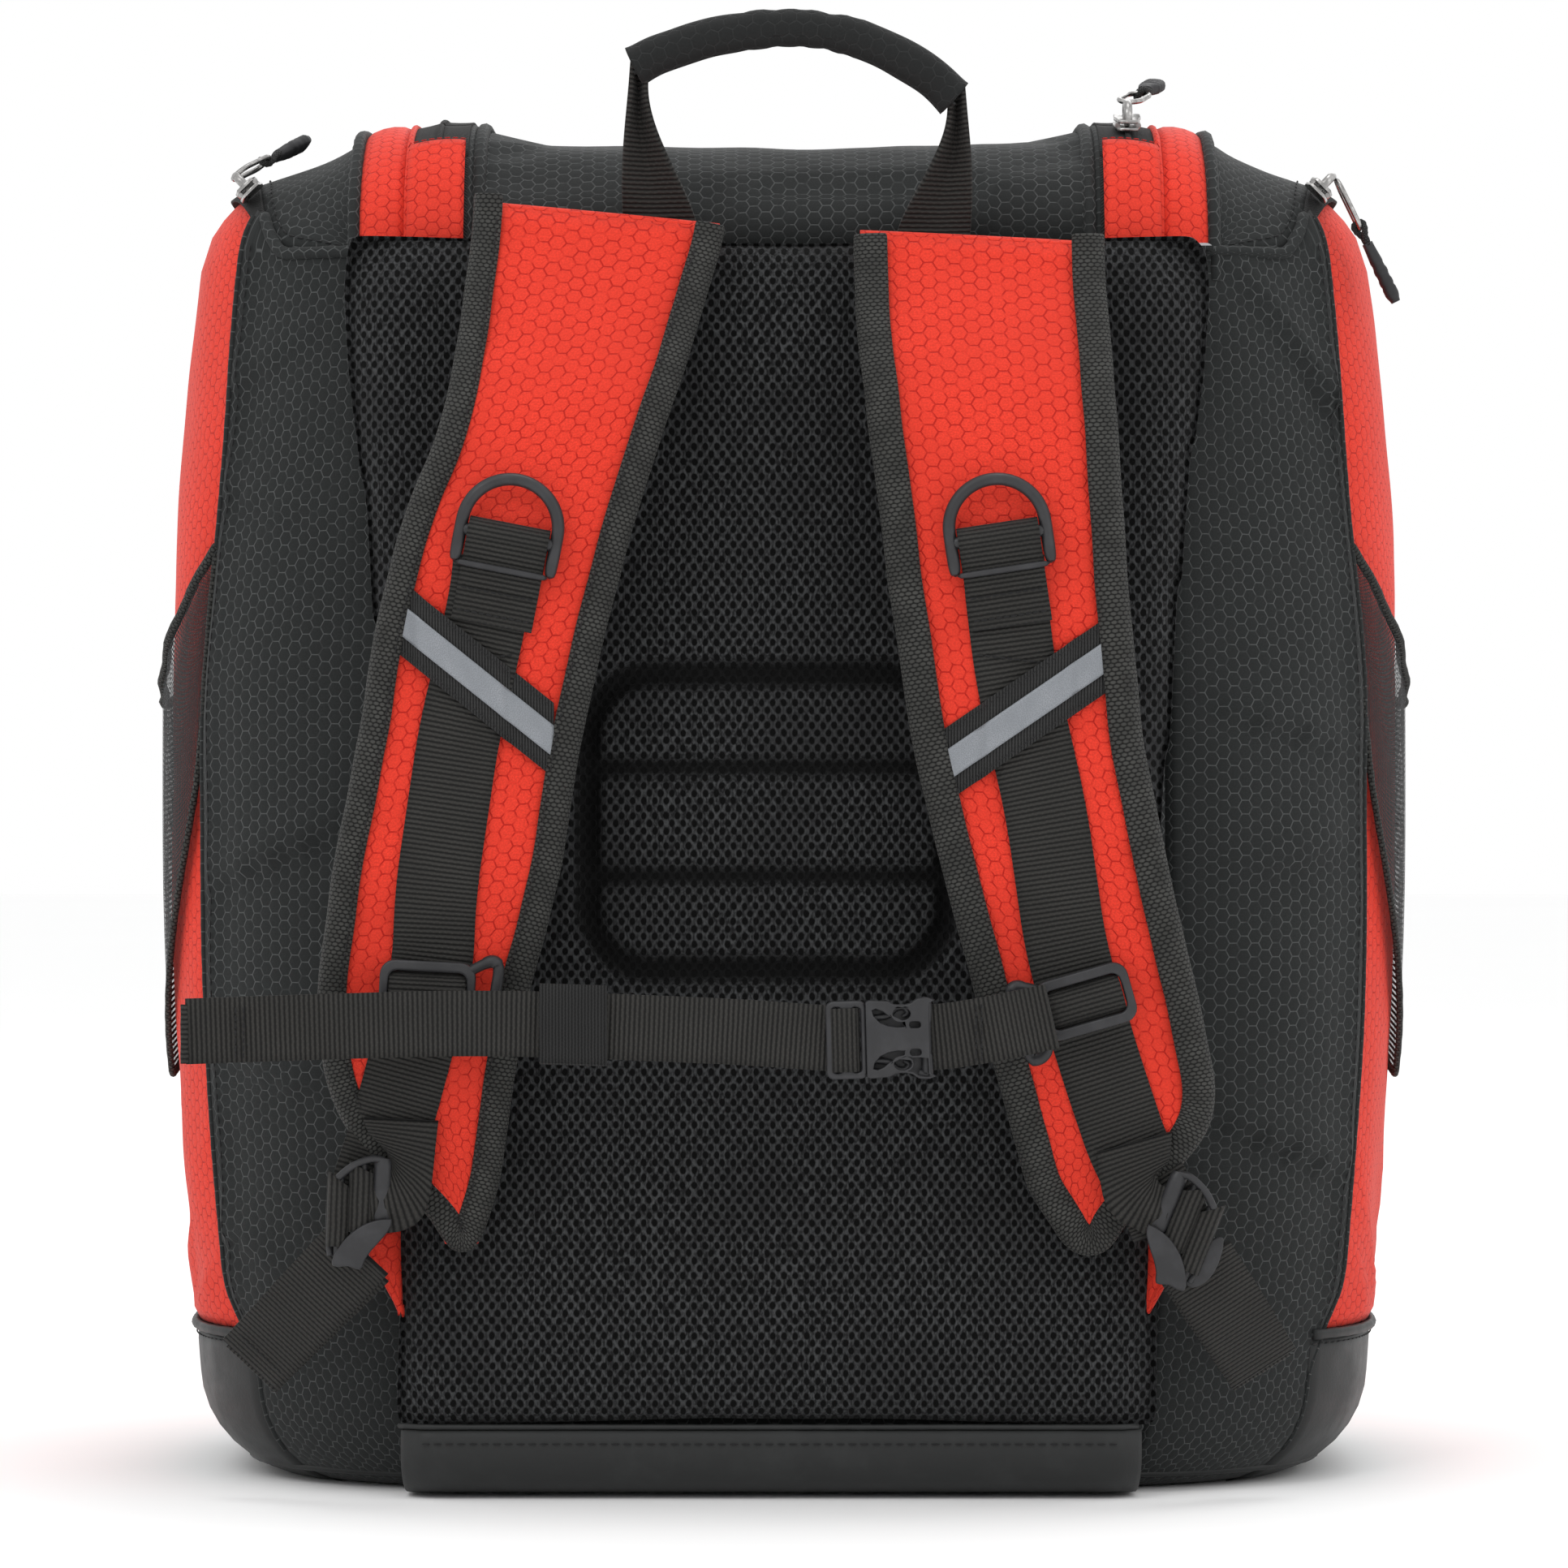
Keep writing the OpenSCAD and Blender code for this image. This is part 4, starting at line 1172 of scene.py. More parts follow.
def lid():
    """One black panel from the rear seam over the hinge line to the front zip."""
    def back(x):
        return strip_back(x)

    def front(x):
        return strip_front(x) - ZIP_FRONT
    rows = top_rows(-LID_HALF, LID_HALF, 44, back, front, 60)

    def lift(u, v, p):
        sag = -1.5 - 6.5 * bulge(u, v, 0.5)
        soft = edge_fade(u, v, 0.07) * (1.6 * ripple(p, 58, 21) + 0.7 * ripple(p, 22, 23))
        rear = crease(p, (-70, -124, 414), (60, -122, 418), 5, 1.6) + crease(p, (10, -118, 422), (92, -120,
                412), 5, 1.3)
        return sag + soft + rear * edge_fade(u, v, 0.04)
    rows = lifted(rows, lift)
    o = shell_sheet("lid_panel", rows, M_BLACK, False)
    slacken(o, 0.008, 0.05, 3.0, 0.5)
    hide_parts("lid", "lid_back")
    hinge_start, hinge_end = (0, -0.119, 0.4285), (0, -0.105, 0.4305)
    later = [(o, hinge_start, hinge_end)]
    for side in SIDES:
        edge = [r[-1 if side > 0 else 0] + Vector((side * 0.4, 0, -0.6)) for r in rows]
        for k, (shift, radius, mat) in enumerate(((0.0, 1.9, M_BLACK), (-3.6, 2.2, M_BLACK))):
            line = [p + Vector((side * shift, 0, 0.25 * k)) for p in edge]
            pts = resample(line, 3.0)
            radii = [radius * (1 + 0.05 * ripple(p, 14, k + side)) for p in pts]
            v, f = tube(pts, radii, 9)
            uvs = [(2 * math.pi * radius * (j / 9), i * 3.0) for i in range(len(pts)) for j in range(9)]
            e = mesh_object("lid_edge_%s_%d" % (tag(side), k), v, f, mat, uvs)
            later.append((e, hinge_start, hinge_end))
    return later


def garage(side):
    """Red fabric end cap over the end of the main zip."""
    def point(u, v):
        x = lerp(LID_HALF + 1.0, BAND_IN - 0.2, u)
        y = strip_back(x) - 0.6 + 17.5 * v
        rise = 5.5 + 0.9 * math.sin(math.pi * u) ** 0.7
        return Vector((x, y, dome(x, max(y, strip_back(x) + 0.4)) + rise))
    rows = [[point(u, v) for u in spread(0, 1, 8)] for v in spread(0, 1, 8)]
    def dropped(line):
        drop = line[0].z - (dome(line[0].x, line[0].y) + 0.4)
        return [line[0] + Vector((0.3, 0, -drop))] + line + [line[-1] + Vector((-0.3, 0, -drop))]
    rows = [dropped(line) for line in rows]
    base_row = [Vector((p.x, p.y - 2.0, min(p.z, rows[0][1].z) - 11)) for p in rows[0]]
    rows = [base_row, [p.lerp(q, 0.6) + Vector((0, -0.6, 0)) for p, q in zip(base_row, rows[0])]] + rows
    o = sheet_grid("zip_garage_" + tag(side), turned(rows, side), M_RED, side < 0, 1.0)
    place(o, "root", "red_fabric", "zip_garage_" + tag(side))
    front = [r + Vector((0, -2.2, 0.25)) for r in turned(rows, side)[-1]]
    stitches("zip_garage_stitch_" + tag(side), [front], M_THREAD_RED, "root", "red_fabric", 1.9, 0.7, 0.22)


def divider(side):
    """Padded divider between the main compartment and a boot compartment, bound round its edge."""
    lean = math.tan(math.radians(2.3))

    def outline_top(y):
        return dome(LID_HALF, y) - 8
    ys = spread(-116, 124, 30)
    rows = []
    for v in spread(0, 1, 24):
        line = []
        for y in ys:
            low = 7.5 + max(0.0, (abs(y - 5) - 96)) * 1.6
            z = lerp(low, outline_top(max(-126, min(134, y))), v)
            line.append(Vector((side * (80 + lean * z), y, z)))
        rows.append(line)
    rows = lifted(rows, lambda u, v, p: side * 1.6 * bulge(u, v, 0.5) + 0.6 * ripple(p, 50, side))
    o = sheet_grid("divider_" + tag(side), rows, M_LINING, side < 0, 2.4)
    place(o, "root", "lining", "divider_" + tag(side))
    rim = rows[-1]
    piping("divider_binding_" + tag(side), rim, 2.0, M_BIND, "root", "binding_tape")


def side_pocket(side):
    """Open mesh pocket on the door, with a drooping hem and a rounded bottom."""
    body = tag(side) + "_door"
    angles = even_angles(DOOR_REAR + 1.0, DOOR_FRONT - 3, 4.0)
    n = len(angles) - 1

    def point(k, v, extra=0.0):
        u = k / n
        arch = math.sin(math.pi * u)
        z = lerp(247 - 119 * arch ** 0.62, 300 - 50 * arch ** 0.8, v)
        slack_out = 1.0 * arch ** 0.6 * math.sin(math.pi * lerp(0.06, 0.86, v)) ** 0.7
        a = door_angle(angles[k], z)
        p = skin(a, z)
        away = Vector((p.x / half_w(z), p.y / 150, 0)).normalized()
        gather = 0.5 * math.sin(u * 46) * v ** 4
        share = (angles[k] - DOOR_REAR) / (DOOR_FRONT - DOOR_REAR)
        return p + away * (slack_out + 1.5 + gather + extra + door_bulge(share, (z - 52) / 360))
    rows = [[point(k, v) for k in range(n + 1)] for v in spread(0, 1, 30)]
    o = sheet_grid("mesh_pocket_" + tag(side), turned(rows, side), M_NET, side < 0, 0.5)
    place(o, body, "pocket_mesh", "mesh_pocket_" + tag(side))
    for name, v, r in (("elastic", 1.0, 1.5), ("foot", 0.0, 1.1)):
        line = turned([[point(k, v, 0.2) for k in range(n + 1)]], side)[0]
        piping("mesh_pocket_%s_%s" % (name, tag(side)), line, r, M_BIND, body, "binding_tape")
    for name, k in (("rear", 0), ("front", n)):
        line = turned([[point(k, v, 0.2) for v in spread(0, 1, 20)]], side)[0]
        piping("mesh_pocket_%s_%s" % (name, tag(side)), line, 1.1, M_BIND, body, "binding_tape")


# ---------------------------------------------------------------- padded back
PAD_BACK_Y = -138.5
PAD_BOTTOM = 21.5
PAD_TOP = 395
PAD_HALF = [[20, 116], [60, 118], [180, 119], [300, 128], [350, 133], [380, 134], [396, 130]]
PAD_SHIFT = -2.5
CHANNELS = {"cx": -5, "cz": 212, "w": 112, "h": 92, "r": 20}


def channel(distance, half):
    """Cross-section of a sewn channel: flat in the middle, with soft shoulders."""
    return 1 - ease((abs(distance) - half * 0.55) / (half * 1.1))


def pad_face(x, z):
    """How far the quilting presses the pad in at a place on its front: a rounded frame and two bars."""
    c = CHANNELS
    qx = abs(x - c["cx"]) - (c["w"] / 2 - c["r"])
    qz = abs(z - c["cz"]) - (c["h"] / 2 - c["r"])
    outside = math.hypot(max(qx, 0), max(qz, 0)) + min(max(qx, qz), 0) - c["r"]
    depth = 4.6 * channel(outside, 3.4)
    if outside < 0:
        for bar in (-17, 17):
            depth = max(depth, 4.2 * channel(z - c["cz"] - bar, 2.8) * ease(-outside / 3))
        depth = max(depth, 0) - 1.0 * ease(-outside / 16)
    for sx in (-1, 1):
        lane = abs(x - c["cx"] - sx * (56 + 0.10 * max(0, z - 258))) if z > 258 else 99
        depth = max(depth, 1.6 * math.exp(-(lane / 7) ** 2) * ease((z - 262) / 30) * ease((385 - z) / 40))
    return depth


def back_pad():
    """Air-mesh pad: a crowned slab blown up as cloth, then quilted."""
    nx, nz = 46, 66
    grid = {}
    verts, faces = [], []

    def add(p):
        verts.append(p)
        return len(verts) - 1
    for layer, y in enumerate((PAD_BACK_Y - 9.3, PAD_BACK_Y + 1.5)):
        for i, z in enumerate(spread(PAD_BOTTOM, PAD_TOP + 1.5, nz)):
            half = table(PAD_HALF, z, 1) + 3.5
            for j, s in enumerate(spread(-1, 1, nx)):
                grid[layer, i, j] = add(Vector((PAD_SHIFT + half * s, y, z)))
    for i in range(nz):
        for j in range(nx):
            f = [grid[0, i, j], grid[0, i, j + 1], grid[0, i + 1, j + 1], grid[0, i + 1, j]]
            faces.append(tuple(f))
            faces.append(tuple(k + (nz + 1) * (nx + 1) for k in f[::-1]))
    ring = [(0, j) for j in range(nx)] + [(i, nx) for i in range(nz)]
    ring += [(nz, j) for j in range(nx, 0, -1)] + [(i, 0) for i in range(nz, 0, -1)]
    for (i, j), (k, m) in zip(ring, ring[1:] + ring[:1]):
        faces.append((grid[0, i, j], grid[1, i, j], grid[1, k, m], grid[0, k, m]))
    pad = mesh_object("back_pad", verts, faces, M_MESH)
    remesh = pad.modifiers.new("remesh", "REMESH")
    remesh.mode = "VOXEL"
    remesh.voxel_size = 4 * MM
    bake_modifiers(pad)
    slacken(pad, 0.005, 1.6, 3.0, 0.0, 0, 15.0)
    return pad


def bake_modifiers(o):
    """Applies every modifier of the piece to its mesh."""
    bpy.context.view_layer.update()
    me = bpy.data.meshes.new_from_object(o.evaluated_get(bpy.context.evaluated_depsgraph_get()))
    old = o.data
    o.modifiers.clear()
    o.data = me
    me.name = old.name
    bpy.data.meshes.remove(old)
    me.polygons.foreach_set("use_smooth", [True] * len(me.polygons))


def finish_pad(pad):
    """Subdivides the pad, presses in its quilting, records where to paint shade into the grooves and keeps
    it inside its seams.
    """
    relax = pad.modifiers.new("relax", "SMOOTH")
    relax.factor = 0.5
    relax.iterations = 6
    sub = pad.modifiers.new("smooth", "SUBSURF")
    sub.levels = sub.render_levels = 1
    bake_modifiers(pad)
    y_seam = (PAD_BACK_Y - 6) * MM
    shade = pad.data.attributes.new("groove_shade", "FLOAT", "POINT")
    for v in pad.data.vertices:
        x, z = v.co.x / MM, v.co.z / MM
        press = 0.0
        if v.co.y < y_seam:
            half = table(PAD_HALF, z, 1)
            share = abs(x - PAD_SHIFT) / half
            round_off = 4.5 * ease((share - 0.86) / 0.16) + 4.0 * ease((z - PAD_TOP + 22) / 22)
            soft = 0.6 * ripple((x, 0, z), 60, 31) + 0.2 * ripple((x, 0, z), 22, 33)
            crown = 1.6 * bulge(0.5 + (x - PAD_SHIFT) / half / 2.1, (z - 10) / 400, 0.5)
            press = pad_face(x, z)
            v.co.y += (press + round_off - soft - crown) * MM
        v.co.y = max(v.co.y, (PAD_BACK_Y - 14.5) * MM)
        v.co.y = min(v.co.y, (PAD_BACK_Y + 2.5) * MM)
        # Per-point painted shade for the air mesh's colour, strongest in the quilted grooves.
        shade.data[v.index].value = 0.9 * ease(abs(press) / 3.6)
    pad.data.update()
    place(pad, "root", "air_mesh", "back_pad")


def base_strip():
    """Coated strip that closes the pad at the bottom and wraps under the bag."""
    profile = [(-147.5, 22.6), (-149.2, 21.0), (-149.8, 17), (-149.0, 11), (-146.5, 5.6), (-142.0, 2.4),
               (-134.0, 1.0), (-122.0, 0.6), (-112.0, 0.6)]
    rows = []
    for k, (y, z) in enumerate(profile[::-1]):
        line = []
        for s in spread(-1, 1, 60):
            half = 116.5 - 1.5 * max(0.0, (8 - z) / 8)
            tuck = 5.5 * max(0.0, abs(s) - 0.94) / 0.06
            wave = 0.5 * ripple((s * 116, y, z), 34, 41)
            line.append(Vector((PAD_SHIFT - 1.5 + half * s, y + tuck * (1 if z > 1.2 else 0)
                    + wave * (z > 3), z)))
        rows.append(line)
    o = sheet_grid("back_base_strip", rows, M_BASE, False, 1.2)
    m = o.modifiers.new("smooth", "SUBSURF")
    m.levels = m.render_levels = 1
    place(o, "root", "coated_fabric", "back_base_strip")
    top = [Vector((p.x, p.y - 0.6, p.z + 0.4)) for p in rows[-1]]
    piping("back_base_edge", top, 0.9, M_BASE, "root", "coated_fabric")
    stitches("back_base_stitch", [[Vector((p.x, -150.2 + (p.y + 149.8), 17.8)) for p in rows[-3]][2:-2]],
            M_THREAD,
             "root", "coated_fabric")


# ---------------------------------------------------------------- harness
STRAP_FRONT = [[78, -160.5], [95, -164], [130, -175], [200, -187], [300, -189], [345, -182], [375, -168],
               [392, -161], [403, -160.5]]
STRAP_EDGES = {
    -1: [[79, -97, -103], [92, -90, -111], [110, -87, -130], [124, -85, -140], [155, -80, -144.5],
         [200, -68, -138], [235, -63.5, -131], [275, -54, -124.5], [305, -46.3, -117], [335, -36.4, -105],
         [366, -26.6, -99.5], [394, -18, -95.5]],
    1: [[79, 92, 99], [92, 78, 108], [110, 73.5, 127.5], [124, 69.5, 134], [155, 61, 127.5],
        [200, 49, 116.5], [235, 40.5, 109.5], [275, 34.5, 105.5], [305, 30.5, 103.2], [335, 27, 101.5],
        [366, 23.2, 99.7], [394, 22.5, 98.4]],
}
WEB_LINE = {
    -1: [[92, -130], [121, -120.3], [138, -115.6], [166, -108], [190, -106.9], [240, -99.5], [265, -93.3],
            [290, -88.5]],
    1: [[86, 122], [106, 108.2], [136, 97.8], [173, 86.6], [215, 80.4], [257, 71], [290, 67]],
}
STRAP_T = 9
BIND_W = 9.0


def eased_table(rows, key, col):
    """A table lookup averaged over a few millimetres, so that its corners are round."""
    return sum(table(rows, key + d, col) for d in (-9, -5, 0, 5, 9)) / 5


def strap_y(z):
    return eased_table(STRAP_FRONT, z, 1)


def strap_edge(side, z, col):
    """x of the strap's inner (1) or outer (2) edge."""
    return eased_table(STRAP_EDGES[side], z, col)


STRAP_Z = [81, 83, 86] + spread(90, 394, 62)
# how far above 394 mm the inner and outer ends of the strap's top edge are sewn
STRAP_TOPS = {-1: (2.5, 9.5), 1: (0.5, -3.2)}


def top_shift(side, s, z):
    """Rise of the slanted top edge; s runs from -1 at the left of the strap to 1 at its right."""
    inner, outer = STRAP_TOPS[side]
    return lerp(inner, outer, (1 + s * side) / 2) * ease((z - 350) / 44)


def strap_section(side, z):
    """(inner x, outer x, front y) of the strap at height z."""
    xi, xo = strap_edge(side, z, 1), strap_edge(side, z, 2)
    return xi, xo, strap_y(z)


def strap_crown(s, z):
    """How far the padded face stands out, s from -1 to 1 across it."""
    return 2.6 * max(0.0, 1 - abs(s) ** 2.6)


def on_strap(side, x, z, out=0.0):
    """A point on the strap's face at x, z, raised by out millimetres."""
    xi, xo, y = strap_section(side, z)
    mid, half = (xi + xo) / 2, abs(xo - xi) / 2
    s = max(-1.0, min(1.0, (x - mid) / half))
    return Vector((x, y + 2.4 - strap_crown(s, z) - out, z))


def shoulder_strap(side):
    """Padded strap: red face over foam, mesh behind, bound in tape all round."""
    face, backing = [], []
    for z in STRAP_Z:
        xi, xo, y = strap_section(side, z)
        inner = min(xi, xo)
        outer = max(xi, xo)
        mid, half = (inner + outer) / 2, (outer - inner) / 2
        face.append([on_strap(side, mid + half * 0.97 * s, z) + Vector((0, 0, top_shift(side, s, z)))
                     for s in spread(-1, 1, 24)])
        backing.append([Vector((mid + half * 0.97 * s, y + STRAP_T - 1.2 + 0.8 * (1 - abs(s) ** 3),
                                z + top_shift(side, s, z))) for s in spread(-1, 1, 12)])
    face = lifted(face, lambda u, v, p: edge_fade(u, v, 0.12) * (0.9 * ripple(p, 40, side + 51)
            + 0.4 * ripple(p, 15, side + 53)))
    o = sheet_grid("shoulder_strap_" + tag(side), face, M_RED, False, 1.4)
    slacken(o, 0.006, 0.3, 0.3, 0.0)
    place(o, "harness", "red_fabric", "shoulder_strap_" + tag(side))
    b = sheet_grid("shoulder_strap_back_" + tag(side), backing, M_MESH, True, 1.4)
    place(b, "harness", "air_mesh")
    root = []
    for back, rise in ((0, 0), (2.5, 1.6), (6.5, 1.9), (11, 0.4), (16, -3.5), (21, -8)):
        root.append([p + Vector((0, back, rise)) for p in face[-1]])
    r = sheet_grid("shoulder_strap_root_" + tag(side), root, M_RED, False, 1.2)
    place(r, "harness", "red_fabric")
    path, inward = binding_path(side)
    bind_edge("strap_binding_" + tag(side), path, inward)


def binding_path(side):
    """The strap's rim: up the outer edge, and down the inner edge round the pointed lower end."""
    down = [z for z in STRAP_Z[::-1]]
    outer, inner = [], []
    for z in down:
        xi, xo, y = strap_section(side, z)
        outer.append(Vector((xo, y, z + top_shift(side, side, z))))
        inner.append(Vector((xi, y, z + top_shift(side, -side, z))))
    low_z = STRAP_Z[0]
    xi, xo, y = strap_section(side, low_z)
    tip = [Vector((lerp(xo, xi, t), y, low_z - 3.2 * math.sin(math.pi * t))) for t in spread(0, 1, 6)[1:-1]]
    outer.insert(0, outer[0] + Vector((0, 0.2, 4.0)))
    inner.insert(0, inner[0] + Vector((0, 0.2, 4.0)))
    path = resample(outer + tip + inner[::-1], 4.0)
    inward = []
    n = len(path)
    for i in range(n):
        d = (path[min(i + 2, n - 1)] - path[max(i - 2, 0)])
        flat = Vector((d.x, 0, d.z)).normalized()
        perp = Vector((flat.z, 0, -flat.x))
        inward.append(perp * (-1 if side < 0 else 1) * -1)
    centre = Vector((sum(p.x for p in path) / n, 0, sum(p.z for p in path) / n))
    if (path[n // 4] + inward[n // 4] * 10 - centre).length > (path[n // 4] - inward[n // 4] * 10
            - centre).length:
        inward = [-w for w in inward]
    return path, inward


def bind_edge(name, path, inward):
    """Folded tape over a padded edge: a strip in front, a rounded rim and a strip behind."""
    section = [(BIND_W, -0.3), (BIND_W - 0.5, -1.3), (BIND_W * 0.55, -1.7), (2.2, -1.1), (0.5, 0.4), (-0.4,
            2.6),
               (-0.5, 5.4), (0.4, 7.6), (2.4, 8.9), (BIND_W * 0.6, 9.2), (BIND_W, 9.0)]
    rows = []
    for i, (p, w) in enumerate(zip(path, inward)):
        squeeze = 0.35 * ripple(p, 16, 61)
        rows.append([p + w * (a + squeeze) + Vector((0, b + 0.25 * ripple(p + w * a, 9, 63), 0)) for a,
                b in section])
    o = sheet_grid(name, rows, M_BIND, False, 0.7)
    sub = o.modifiers.new("smooth", "SUBSURF")
    sub.levels = sub.render_levels = 1
    place(o, "harness", "binding_tape")
    line = [r[1].lerp(r[2], 0.35) + Vector((0, -0.35, 0)) for r in rows[2:-2]]
    stitches(name + "_stitch", [line], M_THREAD, "harness", "binding_tape", 2.2, 1.0, 0.24)


def web_point(side, z):
    return eased_table(WEB_LINE[side], z, 1)


def strap_webbing(side):
    """Webbing sewn down the strap from the D-ring to the ladder lock."""
    z0, z1 = WEB_LINE[side][0][0], 293.5
    path, sides = [], []
    for z in spread(z0, z1, 90):
        x = web_point(side, z)
        slope = (web_point(side, z + 3) - web_point(side, z - 3)) / 6
        across = Vector((1, 0, -slope)).normalized()
        path.append((x, z))
        sides.append(across)
    rows = []
    for (x, z), w in zip(path, sides):
        line = []
        free = ease((108 - z) / 20)
        for s in spread(-12.5, 12.5, 8):
            q = Vector((x, 0, z)) + w * s
            out = 1.7 + 0.15 * math.sin(z * 0.21)
            p = on_strap(side, q.x, q.z, out)
            p.y = lerp(p.y, strap_y(z) - 2.4 - 3.6 * free, free)
            line.append(p)
        rows.append(line)
    o = sheet_grid("strap_webbing_" + tag(side), rows, M_WEB, False, 1.5)
    place(o, "harness", "webbing", "strap_webbing_" + tag(side))
    tack = []
    for z in (262, 279) if side > 0 else (262, 281):
        x = web_point(side, z)
        tack.append([on_strap(side, x + s, z - 0.12 * s * side, 2.2) for s in (-11, -5, 0, 5, 11)])
    stitches("strap_webbing_tack_" + tag(side), tack, M_THREAD, "harness", "webbing", 1.8, 0.5, 0.3)
    return rows


def ring_loop(side):
    """Second layer of webbing that goes up behind the D-ring's cross bar and folds back down."""
    x0, z0, turn = D_RINGS[side]
    to_world = facing(x0, strap_y(z0) - D_LIFT, z0, turn)
    bar = D_CROSS
    section = [(-16.5, -1.6), (-10, -1.3), (-3, -0.6), (bar - 3.4, 1.9), (bar - 1.2, 2.9), (bar + 1.4, 2.9),
               (bar + 3.6, 1.3), (bar + 4.4, -0.6), (bar + 3.0, -2.2), (bar - 1.0, -2.7), (-8, -2.9), (-16,
                       -2.9)]
    rows = [[to_world((s, y, z)) for s in spread(-12.5, 12.5, 8)] for y, z in smooth_pairs(section, 40)]
    o = sheet_grid("d_ring_webbing_" + tag(side), rows, M_WEB, False, 1.2)
    place(o, "harness", "webbing")
    box = []
    for y in (-6.5, -13.5):
        box.append([to_world((s, y, -0.6)) for s in spread(-11, 11, 6)])
    stitches("d_ring_tack_" + tag(side), box, M_THREAD, "harness", "webbing", 1.8, 0.5, 0.3)


def smooth_pairs(points, n):
    return [(p.x, p.y) for p in smooth_curve([(a, b, 0) for a, b in points], n)]


# side: (x, z, turn) of the D-rings' lower bars
D_RINGS = {-1: (-86.5, 288.5, -11), 1: (67.3, 288.5, 8.5)}
D_LIFT = 4.6
D_CROSS = 11


def d_ring(side):
    """D-ring with a cross bar and two short legs below it."""
    x0, z0, turn = D_RINGS[side]
    to_world = facing(x0, strap_y(z0) - D_LIFT, z0, turn)
    r, leg = 14.8, 14
    arc = [(-r, 0.5, 0), (-r, 5, 0), (-r, 10, 0)]
    arc += [(r * math.cos(a), leg + r * math.sin(a), 0) for a in spread(math.pi, 0, 26)]
    arc += [(r, 10, 0), (r, 5, 0), (r, 0.5, 0)]
    path = [Vector(p) for p in arc]
    radii = [1.75] + [2.05] * (len(path) - 2) + [1.75]
    v, f = tube(path, radii, 12, False, Vector((0, 0, 1)))
    bar_v, bar_f = tube([Vector((x, D_CROSS + 0.25 * (1 - abs(x) / r), 0)) for x in spread(-r, r, 8)],
                        [2.3, 1.9, 1.7, 1.7, 1.7, 1.7, 1.7, 1.9, 2.3], 12, False, Vector((0, 0, 1)))
    low_v, low_f = tube([Vector((x, 0.8, 1.2)) for x in spread(-r, r, 4)], 1.1, 10, False,
            Vector((0, 0, 1)))
    parts = [([to_world(p) for p in vv], ff) for vv, ff in ((v, f), (bar_v, bar_f), (low_v, low_f))]
    o = welded("d_ring_" + tag(side), parts, M_PLASTIC)
    m = o.modifiers.new("smooth", "SUBSURF")
    m.levels = m.render_levels = 1
    place(o, tag(side) + "_d_ring", "strap_plastic", "d_ring_" + tag(side))


REFLECT = {-1: ((-118, 263.6), (-70.5, 225.6)), 1: ((47.5, 216.6), (98.5, 251.6))}


def reflective_strip(side):
    """Grosgrain band with a reflective stripe, sewn slanting across the strap."""
    (xa, za), (xb, zb) = REFLECT[side]

    def point(u, v, out):
        x, z = lerp(xa, xb, u), lerp(za, zb, u) + 23 * v
        return on_strap(side, x, z, out)
    web_x = web_point(side, 240)

    def over_web(x):
        return 2.0 * ease((16 - abs(x - web_x)) / 4)
    for name, v0, v1, raise_by, mat, slot_name, node in (
            ("reflective_band_", 0.0, 1.0, 1.4, M_GROS, "webbing", None),
            ("reflective_stripe_", 0.27, 0.70, 2.1, M_REFLECT, "reflective", "reflective_strip_")):
        rows = []
        for u in spread(0, 1, 40):
            line = []
            for v in spread(v0, v1, 8):
                x = lerp(xa, xb, u)
                line.append(point(u, v, raise_by + over_web(x)))
            rows.append(line)
        o = sheet_grid(name + tag(side), rows, mat, True, 0.6)
        place(o, "harness", slot_name, *([node + tag(side)] if node else []))
    lines = [[point(u, v, 2.4 + over_web(lerp(xa, xb, u))) for u in spread(0.02, 0.98, 30)] for v in (0.07,
            0.93)]
    stitches("reflective_stitch_" + tag(side), lines, M_THREAD, "harness", "reflective", 1.8, 0.8, 0.2)


# ---------------------------------------------------------------- sternum strap
STERNUM_Y = -201
STERNUM_LINE = [(-182, 148.4), (-140, 149.8), (-100, 150.8), (-65, 150.3), (-16, 148.3), (13, 146.4), (26,
        146.2),
                (45, 146.6), (60, 148.6), (80, 152.5), (90, 155)]
BUCKLE_AT = (34.6, 146.2)
RING_AT = {-1: (-109.5, 160.0, -3), 1: (92.6, 157.0, 16)}


def sternum_z(x):
    pts = smooth_curve([(a, b, 0) for a, b in STERNUM_LINE], 120)
    for p, q in zip(pts, pts[1:]):
        if p.x <= x <= q.x:
            return lerp(p.y, q.y, (x - p.x) / (q.x - p.x))
    return pts[0].y if x < pts[0].x else pts[-1].y


def chest_tape(name, x0, x1, n, y_at, width=20, thick=1.5, mat=None, twist=0.0):
    rows = []
    for x in spread(x0, x1, n):
        slope = (sternum_z(x + 2) - sternum_z(x - 2)) / 4
        across = Vector((-slope, 0, 1)).normalized()
        roll = twist * math.sin(x * 0.045)
        line = []
        for s in spread(-width / 2, width / 2, 6):
            line.append(Vector((x, y_at(x) + roll * s, sternum_z(x))) + across * s)
        rows.append(line)
    return sheet_grid(name, rows, mat or M_WEB, True, thick)


